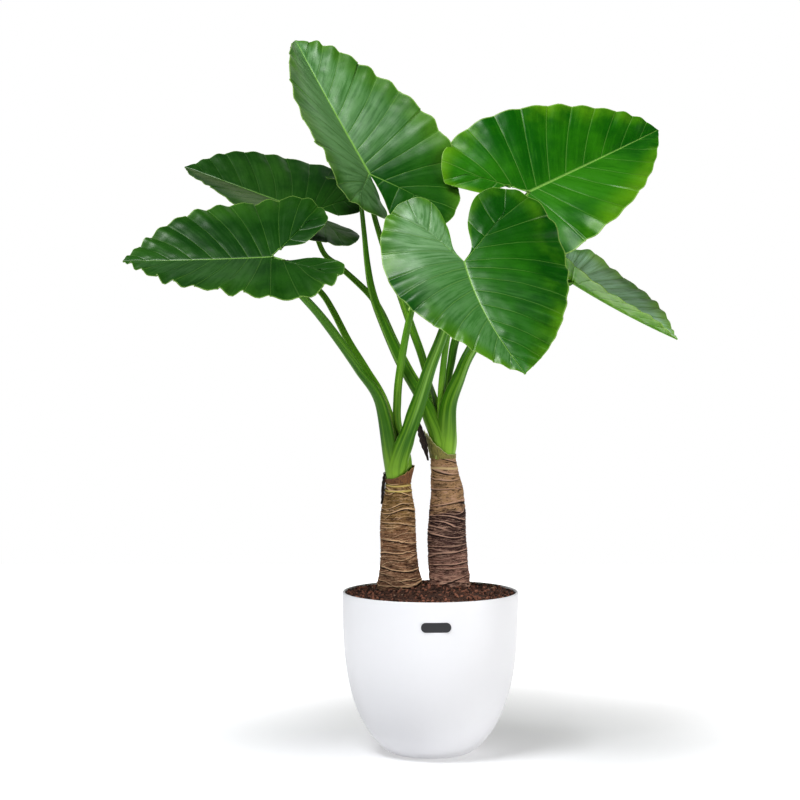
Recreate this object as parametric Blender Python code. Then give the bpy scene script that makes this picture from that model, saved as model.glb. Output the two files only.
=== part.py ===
"""Giant taro house plant growing in a round white planter.

Metres, +Z up. The origin is the centre of the planter's flat underside, +X is
to the viewer's right and the viewer stands on the -Y side.
"""
import math

import bmesh
import bpy
import numpy as np
from mathutils import Vector

# Planter
POT_HEIGHT = 0.305
POT_RADIUS = 0.165
FOOT_RADIUS = 0.067
WALL = 0.0045
FLOOR = 0.006
POT_SIDES = 48
POT_RINGS = 12
DRAIN_RADIUS = 0.006
DRAIN_CIRCLE = 0.042
DRAIN_SIDES = 12
DRAINS = 4
LIP_FLAT = 0.0008

# Blank badge stuck on the front of the planter
BADGE_WIDTH = 0.055
BADGE_HEIGHT = 0.018
BADGE_THICKNESS = 0.0012
BADGE_X = 0.0085
BADGE_Z = 0.259
BADGE_ROWS = 9
BADGE_COLUMNS = 12

# Soil
SOIL_EDGE_DROP = 0.0035
SOIL_MOUND = 0.0165
SOIL_RINGS = 5

# Gap between pieces that touch
GAP = 0.0003

# Trunks: centre lines and radii of the two stems, foot to top
TRUNK_SINK = 0.022
TRUNK_SIDES = 20
TRUNK_RINGS = 11
SCAR_STEP = 0.0008
LEFT_LINE = [
    (-0.057, -0.005, 0.318), (-0.0595, -0.004, 0.384), (-0.061, -0.004, 0.449), (-0.0605, -0.005, 0.515),
]
LEFT_RADII = (0.0405, 0.0345, 0.0325, 0.0225)
RIGHT_LINE = [
    (0.037, 0.010, 0.318), (0.031, 0.012, 0.399), (0.032, 0.012, 0.479), (0.0235, 0.010, 0.560),
]
RIGHT_RADII = (0.0370, 0.0370, 0.0320, 0.0230)

# Stalks
STALK_SIDES = 10
STALK_RINGS = 13
STALK_TIP_RADIUS = 0.0022
NECK_RISE = 0.036
NECK_SPREAD = 1.30
STRIP_SIDES = 8
STRIP_RINGS = 8
STRIP_FLAT = 0.16

LINES = {"left": LEFT_LINE, "right": RIGHT_LINE}

# Each stalk: its trunk, its corner of the bundle at the trunk's top, its radii
# from base to top, the places it passes and the blade it carries.
STALKS = {
    "stalk_low_left": dict(
        trunk="left", corner=190, spread=0.0135, carries="leaf_low_left",
        radii=(0.0082, 0.0136, 0.0115, 0.0088, 0.0060),
        guides=[(-0.091, -0.020, 0.662), (-0.131, -0.030, 0.725), (-0.172, -0.045, 0.783),
                (-0.208, -0.068, 0.830), (-0.240, -0.090, 0.866), (-0.266, -0.114, 0.901)],
    ),
    "stalk_young_left": dict(
        trunk="left", corner=105, spread=0.0135, carries="leaf_young_left",
        radii=(0.0080, 0.0085, 0.0070, 0.0055, 0.0040),
        guides=[(-0.088, 0.020, 0.660), (-0.121, 0.023, 0.720), (-0.154, 0.030, 0.774),
                (-0.183, 0.040, 0.830), (-0.206, 0.050, 0.865), (-0.241, 0.065, 0.893),
                (-0.285, 0.080, 0.913)],
    ),
    "stalk_spear_left": dict(
        trunk="left", corner=15, spread=0.0135, carries="spear_left",
        radii=(0.0080, 0.0085, 0.0085, 0.0078, 0.0070),
        guides=[(-0.062, 0.000, 0.617), (-0.063, -0.006, 0.665), (-0.059, -0.012, 0.712),
                (-0.048, -0.018, 0.780), (-0.036, -0.020, 0.835)],
    ),
    "stalk_front": dict(
        trunk="left", corner=275, spread=0.0135, carries="leaf_front",
        radii=(0.0082, 0.0150, 0.0118, 0.0088, 0.0060),
        guides=[(-0.022, -0.050, 0.663), (-0.002, -0.078, 0.728), (0.020, -0.110, 0.788),
                (0.041, -0.152, 0.858)],
    ),
    "stalk_back_left": dict(
        trunk="right", corner=88, spread=0.0150, carries="leaf_back_left",
        radii=(0.0070, 0.0085, 0.0070, 0.0055, 0.0045),
        guides=[(-0.004, 0.055, 0.658), (-0.038, 0.068, 0.714), (-0.067, 0.079, 0.771),
                (-0.093, 0.088, 0.828), (-0.118, 0.097, 0.864), (-0.172, 0.118, 0.914),
                (-0.205, 0.136, 0.943)],
    ),
    "stalk_young_back": dict(
        trunk="right", corner=222, spread=0.0150, carries="leaf_young_back",
        radii=(0.0070, 0.0115, 0.0088, 0.0052, 0.0040),
        guides=[(-0.001, 0.000, 0.627), (-0.016, 0.005, 0.668), (-0.057, 0.022, 0.740),
                (-0.095, 0.038, 0.825), (-0.110, 0.048, 0.870), (-0.119, 0.060, 0.923),
                (-0.125, 0.075, 0.980), (-0.131, 0.098, 1.031)],
    ),
    "stalk_top": dict(
        trunk="right", corner=153, spread=0.0150, carries="leaf_top",
        radii=(0.0070, 0.0080, 0.0078, 0.0060, 0.0045),
        guides=[(0.007, 0.024, 0.654), (-0.012, 0.030, 0.735), (-0.036, 0.034, 0.804),
                (-0.072, 0.036, 0.907), (-0.093, 0.042, 0.968), (-0.110, 0.053, 1.030)],
    ),
    "stalk_spear_right": dict(
        trunk="right", corner=0, spread=0.0, carries="spear_right",
        radii=(0.0070, 0.0078, 0.0080, 0.0072, 0.0066),
        guides=[(0.018, 0.000, 0.627), (0.019, -0.003, 0.683), (0.024, -0.009, 0.740),
                (0.031, -0.015, 0.790)],
    ),
    "stalk_right": dict(
        trunk="right", corner=22, spread=0.0150, carries="leaf_right",
        radii=(0.0070, 0.0085, 0.0080, 0.0070, 0.0055),
        guides=[(0.031, 0.022, 0.682), (0.039, 0.023, 0.739), (0.051, 0.022, 0.789),
                (0.086, 0.028, 0.870), (0.136, 0.044, 0.976)],
    ),
    "stalk_far_right": dict(
        trunk="right", corner=310, spread=0.0150, carries="leaf_far_right",
        radii=(0.0072, 0.0120, 0.0112, 0.0085, 0.0060),
        guides=[(0.036, -0.010, 0.655), (0.051, -0.006, 0.702), (0.070, 0.002, 0.748),
                (0.106, 0.022, 0.797), (0.156, 0.052, 0.838), (0.219, 0.098, 0.872)],
    ),
}

# Young leaves still rolled up, on past the end of their stalks
SPEARS = {
    "spear_left": [(-0.026, -0.021, 0.880), (-0.016, -0.021, 0.935), (-0.010, -0.020, 0.975)],
    "spear_right": [(0.037, -0.017, 0.825), (0.042, -0.017, 0.865), (0.045, -0.016, 0.895)],
}

DRY_SHEATHS = {
    "dry_sheath_left": dict(
        half_width=0.008, across=(0.4, -0.9, 0),
        guides=[(-0.0932, -0.010, 0.470), (-0.0902, -0.008, 0.503), (-0.0885, -0.006, 0.530)],
    ),
    "dry_sheath_right": dict(
        half_width=0.0085, across=(1.0, 0.0, 0),
        guides=[(-0.0045, -0.014, 0.552), (-0.014, -0.015, 0.590), (-0.024, -0.015, 0.625)],
    ),
}

# Blades
BLADE_THICKNESS = 0.002
FRONT_COLUMNS = 9
LOBE_COLUMNS = 4
BLADE_ROWS = 3

GREEN = (0.045, 0.165, 0.022)
DARK_GREEN = (0.020, 0.085, 0.018)
STALK_GREEN = (0.130, 0.300, 0.035)
PALE_GREEN = (0.260, 0.420, 0.080)
BARK = (0.190, 0.115, 0.060)
PALE_BARK = (0.300, 0.205, 0.120)
DRY_SHEATH = (0.060, 0.032, 0.018)
SOIL_BROWN = (0.040, 0.019, 0.012)
WHITE = (0.860, 0.860, 0.860)
BADGE_BLACK = (0.030, 0.030, 0.032)


def clear_scene():
    for thing in list(bpy.data.objects):
        bpy.data.objects.remove(thing, do_unlink=True)


def material(name, colour, roughness, metallic=0.0):
    made = bpy.data.materials.new(name)
    made.use_nodes = True
    shader = made.node_tree.nodes["Principled BSDF"]
    shader.inputs["Base Color"].default_value = (*colour, 1.0)
    shader.inputs["Roughness"].default_value = roughness
    shader.inputs["Metallic"].default_value = metallic
    return made


def place(name, bm, finish, smooth=True):
    """Makes the named object from a closed bmesh, faces pointing out."""
    bmesh.ops.recalc_face_normals(bm, faces=bm.faces)
    mesh = bpy.data.meshes.new(name)
    bm.to_mesh(mesh)
    bm.free()
    mesh.materials.append(finish)
    if smooth:
        mesh.shade_smooth()
        mesh.set_sharp_from_angle(angle=math.radians(40))
    made = bpy.data.objects.new(name, mesh)
    bpy.context.scene.collection.objects.link(made)
    return made


def through(points, share):
    """The place at share 0..1 of a smooth curve through the points."""
    points = [Vector(p) for p in points]
    at = min(max(share, 0.0), 1.0) * (len(points) - 1)
    i = min(int(at), len(points) - 2)
    f = at - i
    before = points[i - 1] if i > 0 else 2 * points[0] - points[1]
    after = points[i + 2] if i + 2 < len(points) else 2 * points[-1] - points[-2]
    a, b = points[i], points[i + 1]
    return 0.5 * (
        2 * a
        + (b - before) * f
        + (2 * before - 5 * a + 4 * b - after) * f * f
        + (3 * a - before - 3 * b + after) * f * f * f
    )


def loft(sections):
    """A closed skin over rings of points that all have the same count."""
    bm = bmesh.new()
    rings = [[bm.verts.new(p) for p in section] for section in sections]
    count = len(rings[0])
    for lower, upper in zip(rings, rings[1:]):
        for i in range(count):
            j = (i + 1) % count
            bm.faces.new((lower[i], lower[j], upper[j], upper[i]))
    bm.faces.new(list(reversed(rings[0])))
    bm.faces.new(rings[-1])
    return bm


def ring(centre, radius, sides, side_axis=(1, 0, 0), depth_axis=(0, 1, 0), flat=1.0):
    """Points of an ellipse spanned by two axes."""
    centre, across, along = Vector(centre), Vector(side_axis), Vector(depth_axis)
    turns = [2 * math.pi * i / sides for i in range(sides)]
    return [
        centre + across * (radius * math.cos(t)) + along * (radius * flat * math.sin(t))
        for t in turns
    ]


def add_modifier(piece, kind, **settings):
    made = piece.modifiers.new(kind.title(), kind)
    for key, value in settings.items():
        setattr(made, key, value)
    return made


def cutter(name, bm):
    made = place(name, bm, material(name, WHITE, 0.5), smooth=False)
    made.hide_render = True
    made.display_type = "WIRE"
    return made


def cut(piece, tool):
    add_modifier(piece, "BOOLEAN", operation="DIFFERENCE", solver="EXACT", object=tool)


def pot_radius(height):
    """Outer radius: steep at the rim, rounding in to the foot."""
    depth = min(max(1 - height / POT_HEIGHT, 0.0), 1.0)
    return FOOT_RADIUS + (POT_RADIUS - FOOT_RADIUS) * (1 - depth**3) ** (1 / 1.5)


def turned(profile, sides):
    """Solid of revolution of an (r, z) profile that starts and ends on the axis."""
    bm = bmesh.new()
    rings = []
    for radius, height in profile:
        if radius < 1e-6:
            rings.append([bm.verts.new((0, 0, height))] * sides)
        else:
            rings.append([bm.verts.new(p) for p in ring((0, 0, height), radius, sides)])
    for lower, upper in zip(rings, rings[1:]):
        for i in range(sides):
            j = (i + 1) % sides
            corners = dict.fromkeys((lower[i], lower[j], upper[j], upper[i]))
            bm.faces.new(list(corners))
    return bm


def rising(count, start, stop, power=1.6):
    """Heights from start to stop, closer together low down."""
    return [start + (stop - start) * (i / count) ** power for i in range(count + 1)]


def make_pot(finish):
    outer = [(pot_radius(z), z) for z in rising(POT_RINGS, 0.0, POT_HEIGHT - 0.002)]
    middle = POT_RADIUS - WALL / 2
    lip = [(middle + LIP_FLAT, POT_HEIGHT), (middle - LIP_FLAT, POT_HEIGHT)]
    heights = rising(POT_RINGS - 2, FLOOR, POT_HEIGHT - 0.002)
    inner = [(pot_radius(z) - WALL, z) for z in reversed(heights)]
    profile = [(0, 0)] + outer + lip + inner + [(0, FLOOR)]
    pot = place("pot", turned(profile, POT_SIDES), finish)
    for i in range(DRAINS):
        angle = 2 * math.pi * (i + 0.5) / DRAINS
        centre = Vector((DRAIN_CIRCLE * math.cos(angle), DRAIN_CIRCLE * math.sin(angle), 0))
        low, high = centre - Vector((0, 0, FLOOR)), centre + Vector((0, 0, 2 * FLOOR))
        hole = loft([ring(end, DRAIN_RADIUS, DRAIN_SIDES) for end in (low, high)])
        cut(pot, cutter(f"drain_cutter_{i}", hole))


def make_badge(finish):
    """A thin pill-shaped plate bent round the planter's wall."""
    half_w, half_h = BADGE_WIDTH / 2, BADGE_HEIGHT / 2
    bm = bmesh.new()
    layers = []
    for stand_off in (GAP, GAP + BADGE_THICKNESS):
        grid = []
        for i in range(BADGE_ROWS + 1):
            height = -half_h + BADGE_HEIGHT * i / BADGE_ROWS
            reach = half_w - half_h + math.sqrt(max(half_h**2 - height**2, 0.0))
            line = []
            for j in range(BADGE_COLUMNS + 1):
                x = BADGE_X + reach * (2 * j / BADGE_COLUMNS - 1)
                z = BADGE_Z + height
                wall = pot_radius(z) + stand_off
                line.append(bm.verts.new((x, -math.sqrt(wall**2 - x**2), z)))
            grid.append(line)
        layers.append(grid)
    for grid in layers:
        for i in range(BADGE_ROWS):
            for j in range(BADGE_COLUMNS):
                corners = (grid[i][j], grid[i][j + 1], grid[i + 1][j + 1], grid[i + 1][j])
                bm.faces.new(corners)
    back, front = layers
    back_edge = outline_of(back)
    front_edge = outline_of(front)
    for i in range(len(back_edge)):
        j = (i + 1) % len(back_edge)
        bm.faces.new((back_edge[i], back_edge[j], front_edge[j], front_edge[i]))
    place("badge", bm, finish)


def outline_of(grid):
    """Corner-to-corner border of a grid of vertices, in order."""
    right = [line[-1] for line in grid[1:]]
    left = [line[0] for line in reversed(grid[1:-1])]
    return grid[0] + right + list(reversed(grid[-1][:-1])) + left


def soil_height(radius):
    """Top of the soil: a low mound round the two trunks."""
    share = radius / POT_RADIUS
    return POT_HEIGHT - SOIL_EDGE_DROP + SOIL_MOUND * (1 - min(share / 0.93, 1.0) ** 2) ** 1.5


def make_soil(finish, trunks):
    edge_z = POT_HEIGHT - SOIL_EDGE_DROP
    heights = rising(POT_RINGS - 4, FLOOR + GAP, edge_z)
    wall = [(pot_radius(z) - WALL - 2 * GAP, z) for z in heights]
    edge = wall[-1][0]
    top = []
    for i in range(SOIL_RINGS - 1, 0, -1):
        radius = edge * i / SOIL_RINGS
        top.append((radius, soil_height(radius)))
    profile = [(0, FLOOR + GAP)] + wall + top + [(0, soil_height(0))]
    soil = place("soil", turned(profile, POT_SIDES // 2), finish)
    for name, line, radii in trunks:
        cut(soil, cutter(f"{name}_socket", trunk_skin(line, radii, grow=2 * GAP)))


def along_radii(radii, share):
    return through([(r, 0, 0) for r in radii], share).x


def trunk_skin(line, radii, grow=0.0):
    """A stepped stem: each ring of old leaf scars stands a little proud."""
    sink = Vector(line[0]) - Vector((0, 0, TRUNK_SINK + grow))
    sections = [ring(sink, radii[0] * 0.93 + grow, TRUNK_SIDES)]
    for i in range(TRUNK_RINGS + 1):
        share = i / TRUNK_RINGS
        step = SCAR_STEP * (-1) ** i
        radius = along_radii(radii, share) + step + grow
        sections.append(ring(through(line, share), radius, TRUNK_SIDES))
    return loft(sections)


def bundle(top, angle, spread):
    """A stalk's place in the bundle that rises from a trunk's top."""
    turn = math.radians(angle)
    return Vector(top) + Vector((math.cos(turn), math.sin(turn), 0)) * spread


def stalk_path(top, angle, spread, guides):
    """Out of the trunk's top in its own corner, then through the guide points."""
    start = bundle(top, angle, spread) + Vector((0, 0, GAP))
    neck = bundle(top, angle, spread * NECK_SPREAD) + Vector((0, 0, NECK_RISE))
    return [start, neck] + [Vector(g) for g in guides]


def even_shares(path, count):
    """Shares of a path that lie at even distances along it."""
    fine = 120
    places = [through(path, i / fine) for i in range(fine + 1)]
    run = [0.0]
    for a, b in zip(places, places[1:]):
        run.append(run[-1] + (b - a).length)
    wanted = np.linspace(0, run[-1], count + 1)
    return np.interp(wanted, run, np.linspace(0, 1, fine + 1))


def heading_at(path, share):
    ahead = through(path, min(share + 0.004, 1.0))
    behind = through(path, max(share - 0.004, 0.0))
    return (ahead - behind).normalized()


def make_stalk(name, path, radii, finish, tip=STALK_TIP_RADIUS, first_heading=(0, 0, 1)):
    """A round stalk whose radii run from base to top and end at the tip radius."""
    shares = even_shares(path, STALK_RINGS)
    sections = []
    for i, share in enumerate(shares):
        heading = Vector(first_heading) if i == 0 else heading_at(path, share)
        across = Vector((0, 1, 0)).cross(heading).normalized()
        along = heading.cross(across)
        radius = along_radii(radii, i / STALK_RINGS)
        if i == len(shares) - 1:
            radius = tip
        sections.append(ring(through(path, share), radius, STALK_SIDES, across, along))
    return place(name, loft(sections), finish)


# Half of a blade's outline, from the tip round the lobe to the notch. The first
# list counts forward in blade lengths, the others backward in lobe lengths, and
# all count sideways in half widths. A blade's notch value widens the third.
FRONT_OUTLINE = [(1.00, 0.0), (0.91, 0.21), (0.77, 0.455), (0.575, 0.695), (0.33, 0.89), (0.06, 1.0)]
LOBE_OUTLINE = [(0.42, 1.0), (0.82, 0.84), (1.0, 0.56)]
NOTCH_OUTLINE = [(0.93, 0.27), (0.58, 0.12), (0.20, 0.10), (0.0, 0.0)]
LOBE_RIB = (0.66, 0.50)
RIB_CROWDING = 1.35

LEAVES = {
    "leaf_low_left": dict(
        joint=(-0.290, -0.140, 0.931), heading=187, pitch=-3, roll=31,
        length=0.267, width=(0.169, 0.177), lobe=(0.123, 0.112),
        fold=0.21, arch=0.11, droop=0.02, lobe_droop=-0.11, sweep=-0.08, notch=1.4,
    ),
    "leaf_back_left": dict(
        joint=(-0.230, 0.160, 1.020), heading=172, pitch=20, roll=23,
        length=0.269, width=(0.172, 0.182), lobe=(0.118, 0.088),
        fold=0.32, arch=0.18, droop=0.04, lobe_droop=0.0, sweep=-0.08, notch=1.0,
    ),
    "leaf_top": dict(
        joint=(-0.115, 0.050, 1.090), heading=144, pitch=55, roll=14,
        length=0.346, width=(0.190, 0.141), lobe=(0.102, 0.150),
        fold=0.62, arch=0.04, droop=0.12, lobe_droop=0.17, sweep=-0.14, notch=0.15,
    ),
    "leaf_right": dict(
        joint=(0.185, 0.060, 1.055), heading=18, pitch=24, roll=-53,
        length=0.322, width=(0.162, 0.170), lobe=(0.133, 0.119),
        fold=0.39, arch=0.16, droop=0.17, lobe_droop=0.06, sweep=0.11, notch=1.7,
    ),
    "leaf_front": dict(
        joint=(0.058, -0.200, 0.922), heading=-74, pitch=-49, roll=-7,
        length=0.250, width=(0.188, 0.142), lobe=(0.150, 0.141),
        fold=0.19, arch=0.26, droop=0.07, lobe_droop=-0.11, sweep=0.24, notch=1.0,
    ),
    "leaf_far_right": dict(
        joint=(0.276, 0.140, 0.888), heading=-20, pitch=-32, roll=2,
        length=0.234, width=(0.140, 0.102), lobe=(0.080, 0.066),
        fold=0.34, arch=-0.03, droop=-0.07, lobe_droop=0.14, sweep=0.0, notch=1.0,
    ),
    "leaf_young_left": dict(
        joint=(-0.340, 0.092, 0.930), heading=165, pitch=-5, roll=10,
        length=0.140, width=(0.075, 0.075), lobe=(0.030, 0.030),
        fold=0.20, arch=0.15, droop=0.10, lobe_droop=0.05, sweep=0.0, notch=1.0,
    ),
    "leaf_young_back": dict(
        joint=(-0.141, 0.130, 1.089), heading=45, pitch=8, roll=0,
        length=0.180, width=(0.055, 0.055), lobe=(0.045, 0.045),
        fold=0.20, arch=0.15, droop=0.15, lobe_droop=0.05, sweep=0.0, notch=1.0,
    ),
}


def outline_point(leaf, side, station):
    """Flat place on the margin: station 0 is the tip, 1 abeam of the joint,
    2 the back of the lobe and 3 the notch."""
    length, width, lobe = leaf["length"], leaf["width"][side], leaf["lobe"][side]
    front = [(u * length, v * width, 0) for u, v in FRONT_OUTLINE]
    back = [(-u * lobe, v * width, 0) for u, v in LOBE_OUTLINE]
    notch = [(-u * lobe, v * width * leaf["notch"], 0) for u, v in NOTCH_OUTLINE]
    points = front + back + notch
    ends = np.cumsum([0, len(front) - 1, len(back), len(notch)])
    return through(points, np.interp(station, range(4), ends) / ends[-1])


def rib_point(leaf, side, station):
    """Flat place on the midrib or on the lobe's own rib, where a vein starts."""
    if station < 1:
        return Vector((leaf["length"] * (1 - station) ** RIB_CROWDING, 0, 0))
    share = min(station - 1, 3 - station)
    back, out = LOBE_RIB
    return Vector((-back * leaf["lobe"][side], out * leaf["width"][side], 0)) * share


def leaf_axes(leaf):
    """Unit axes of a blade: towards the tip, towards side 0, and up."""
    turn, rise, roll = (math.radians(leaf[k]) for k in ("heading", "pitch", "roll"))
    tipward = Vector(
        (math.cos(turn) * math.cos(rise), math.sin(turn) * math.cos(rise), math.sin(rise))
    )
    level_up = Vector(
        (-math.cos(turn) * math.sin(rise), -math.sin(turn) * math.sin(rise), math.cos(rise))
    )
    level_side = level_up.cross(tipward)
    up = level_up * math.cos(roll) + level_side * math.sin(roll)
    sideways = level_side * math.cos(roll) - level_up * math.sin(roll)
    return tipward, sideways, up


def bent(leaf, side, flat):
    """Takes a flat place on half a blade to its place on the bent blade."""
    length, width, lobe = leaf["length"], leaf["width"][side], leaf["lobe"][side]
    ahead = max(flat.x / length, 0.0)
    behind = max(-flat.x / lobe, 0.0)
    out = flat.y / width
    lift = width * (leaf["fold"] * out - leaf["arch"] * out**2)
    lift -= leaf["droop"] * length * ahead**2 + leaf["lobe_droop"] * lobe * behind**2
    across = (1, -1)[side] * flat.y + leaf["sweep"] * length * ahead**2
    tipward, sideways, up = leaf_axes(leaf)
    return Vector(leaf["joint"]) + tipward * flat.x + sideways * across + up * lift


def half_stations():
    """Stations of the columns of one half blade, tip to notch."""
    front = [i / FRONT_COLUMNS for i in range(FRONT_COLUMNS)]
    back = [1 + 2 * i / (2 * LOBE_COLUMNS) for i in range(2 * LOBE_COLUMNS + 1)]
    return front + back


def make_leaf(name, leaf, finish):
    """One blade: both halves as grids from the ribs to the margin, then thickened."""
    bm = bmesh.new()
    for side in (0, 1):
        columns = []
        for station in half_stations():
            start = rib_point(leaf, side, station)
            end = outline_point(leaf, side, station)
            column = [start.lerp(end, j / BLADE_ROWS) for j in range(BLADE_ROWS + 1)]
            columns.append([bm.verts.new(bent(leaf, side, p)) for p in column])
        for a, b in zip(columns, columns[1:]):
            for j in range(BLADE_ROWS):
                corners = (a[j], b[j], b[j + 1], a[j + 1])
                bm.faces.new(corners if side else tuple(reversed(corners)))
    bmesh.ops.remove_doubles(bm, verts=bm.verts, dist=0.0004)
    bmesh.ops.dissolve_degenerate(bm, edges=bm.edges, dist=0.0002)
    piece = place(name, bm, finish)
    add_modifier(piece, "SOLIDIFY", thickness=BLADE_THICKNESS, offset=0.0)


def under(leaf_name, drop=0.0045):
    """Where a stalk meets a blade, just below the joint."""
    leaf = LEAVES[leaf_name]
    return Vector(leaf["joint"]) - leaf_axes(leaf)[2] * drop


def make_spear(name, stalk_end, guides, radius, finish):
    """A young leaf still rolled up: a slim tapering roll on its stalk's end."""
    heading = heading_at(stalk_end, 1.0)
    path = [stalk_end[-1] + heading * 2 * GAP] + [Vector(g) for g in guides]
    radii = (0.8 * radius, radius, 0.95 * radius, 0.7 * radius, 0.35 * radius)
    make_stalk(name, path, radii, finish, tip=0.1 * radius, first_heading=heading)


def dry_strip(name, guides, half_width, across, finish):
    """The brown remnant of an old sheath: a thin curved strip."""
    sections = []
    through_it = (-across[1], across[0], 0)
    for i in range(STRIP_RINGS + 1):
        share = i / STRIP_RINGS
        half = half_width * (0.35 + 0.65 * math.sin(math.pi * (0.12 + 0.8 * share)))
        centre = through(guides, share)
        sections.append(ring(centre, half, STRIP_SIDES, across, through_it, STRIP_FLAT))
    place(name, loft(sections), finish)


def make_plant():
    bark = material("bark", BARK, 0.85)
    pale_bark = material("pale_bark", PALE_BARK, 0.85)
    green_stalk = material("stalk_green", STALK_GREEN, 0.38)
    pale_stalk = material("pale_stalk_green", PALE_GREEN, 0.38)
    blade = material("blade_green", GREEN, 0.32)
    dark_blade = material("dark_blade_green", DARK_GREEN, 0.32)
    dry = material("dry_sheath", DRY_SHEATH, 0.9)

    place("trunk_left", trunk_skin(LEFT_LINE, LEFT_RADII), bark)
    place("trunk_right", trunk_skin(RIGHT_LINE, RIGHT_RADII), pale_bark)

    for name, stalk in STALKS.items():
        top = LINES[stalk["trunk"]][-1]
        path = stalk_path(top, stalk["corner"], stalk["spread"], stalk["guides"])
        if stalk["carries"] in LEAVES:
            path.append(under(stalk["carries"]))
            make_stalk(name, path, stalk["radii"], green_stalk)
            continue
        end_radius = stalk["radii"][-1]
        make_stalk(name, path, stalk["radii"], pale_stalk, tip=end_radius)
        make_spear(stalk["carries"], path, SPEARS[stalk["carries"]], 1.15 * end_radius, pale_stalk)

    for name, leaf in LEAVES.items():
        shaded = name in ("leaf_back_left", "leaf_low_left", "leaf_young_back")
        make_leaf(name, leaf, dark_blade if shaded else blade)

    for name, strip in DRY_SHEATHS.items():
        dry_strip(name, strip["guides"], strip["half_width"], strip["across"], dry)


def make_planter():
    trunks = [("left", LEFT_LINE, LEFT_RADII), ("right", RIGHT_LINE, RIGHT_RADII)]
    make_pot(material("pot_white", WHITE, 0.3))
    make_badge(material("badge_black", BADGE_BLACK, 0.25))
    make_soil(material("soil_brown", SOIL_BROWN, 0.95), trunks)


clear_scene()
make_planter()
make_plant()
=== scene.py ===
"""Looks of a giant taro growing in a round white planter.

Metres, +Z up. The viewer stands on the -Y side and +X is to the viewer's right.
"""

import math

import bmesh
import bpy
import numpy as np
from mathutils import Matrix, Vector, noise


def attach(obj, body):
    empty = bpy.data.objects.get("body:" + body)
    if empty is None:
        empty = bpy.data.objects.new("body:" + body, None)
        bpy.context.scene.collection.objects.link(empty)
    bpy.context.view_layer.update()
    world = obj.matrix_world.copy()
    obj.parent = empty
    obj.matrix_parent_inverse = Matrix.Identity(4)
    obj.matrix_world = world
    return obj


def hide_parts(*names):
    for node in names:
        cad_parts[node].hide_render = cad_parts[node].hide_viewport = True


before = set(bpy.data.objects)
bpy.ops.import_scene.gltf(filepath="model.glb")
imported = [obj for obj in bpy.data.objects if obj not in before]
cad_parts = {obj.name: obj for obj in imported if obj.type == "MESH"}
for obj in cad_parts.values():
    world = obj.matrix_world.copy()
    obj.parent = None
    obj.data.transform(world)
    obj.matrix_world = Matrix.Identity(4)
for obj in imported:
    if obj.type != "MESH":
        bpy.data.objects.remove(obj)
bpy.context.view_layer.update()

# Camera: where the photograph was taken from
CAMERA_PLACE = (-0.057, -4.5, 0.886)
CAMERA_TILT = 2.82
CAMERA_LENS = 108.3
SENSOR = 36.0

# Light: where the surround is brightest, and its least and greatest glow
BRIGHT_SIDE = (0.45, 0.89, 0.0)
SURROUND_GLOW = (0.07, 0.80)

# Stage: half the floor's width, and how far it lies below the planter
STAGE_HALF = 3.0
STAGE_DROP = 0.0005

# Planter
POT_HEIGHT = 0.305
POT_RADIUS = 0.165
FOOT_RADIUS = 0.067
WALL = 0.0045
FLOOR = 0.006
POT_SIDES = 144
DRAIN_RADIUS = 0.006
DRAIN_CIRCLE = 0.042
DRAINS = 4
BADGE_WIDTH = 0.055
BADGE_HEIGHT = 0.018
BADGE_THICKNESS = 0.0012
BADGE_X = 0.0085
BADGE_Z = 0.259

# Soil
SOIL_EDGE_DROP = 0.0035
SOIL_MOUND = 0.0165
SOIL_SIDES = 150
SOIL_RINGS = 60
CRUMBS = 1500
CRUMB_LEAST = 0.0013
CRUMB_SPREAD = 0.0022

# Clear space between pieces, and the radius of the drum that noise on a stem is read off
GAP = 0.0003
DRUM = 0.03

# Trunks: centre lines and radii of the two stems, foot to top
TRUNK_SINK = 0.022
TRUNK_BELOW = 0.10
TRUNK_SIDES = 120
TRUNK_RINGS = 360
LINES = {
    "left": [
        (-0.057, -0.005, 0.318), (-0.0595, -0.004, 0.384), (-0.061, -0.004, 0.449), (-0.0605, -0.005, 0.515),
    ],
    "right": [
        (0.037, 0.010, 0.318), (0.031, 0.012, 0.399), (0.032, 0.012, 0.479), (0.0235, 0.010, 0.560),
    ],
}
RADII = {
    "left": (0.0405, 0.0345, 0.0325, 0.0225),
    "right": (0.0370, 0.0370, 0.0320, 0.0230),
}

# How plated the upper stem is, swollen bands as a share of the height and how far they
# swell, and how flaky the foot is
TRUNK_STYLES = {
    "left": dict(seed=1.0, plates=0.15, bands=((0.950, 0.0011), (0.900, 0.0011)), flaky=0.4),
    "right": dict(seed=5.0, plates=0.62, bands=((0.905, 0.0005),), flaky=1.0),
}
BAND_WIDTH = 0.011
# Spacing, depth and wander of three sizes of ring, and how strongly each is drawn
WRINKLES = ((0.0105, 0.00065, 0.0095), (0.0052, 0.00045, 0.0105), (0.0029, 0.00028, 0.0090))
RIDGE_SHARE = (1.0, 0.85, 0.60)
SLANT = 0.5
FLAKE_DEPTH = 0.0030

# Collars: how high each stands at angles round its stem, in degrees and metres
COLLARS = {
    "left": dict(seed=4, rises=[
        (205, 0.002), (255, 0.004), (300, 0.014), (345, 0.026), (400, 0.026), (450, 0.006),
        (500, 0.004), (565, 0.002),
    ]),
    "right": dict(seed=5, rises=[
        (95, 0.006), (150, 0.040), (180, 0.046), (205, 0.042), (245, 0.020), (290, 0.003),
        (360, 0.002), (455, 0.006),
    ]),
}
COLLAR_RADIUS = 0.0244
COLLAR_FLARE = 0.24
COLLAR_OVERLAP = 0.005
COLLAR_THICKNESS = 0.0007

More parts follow.
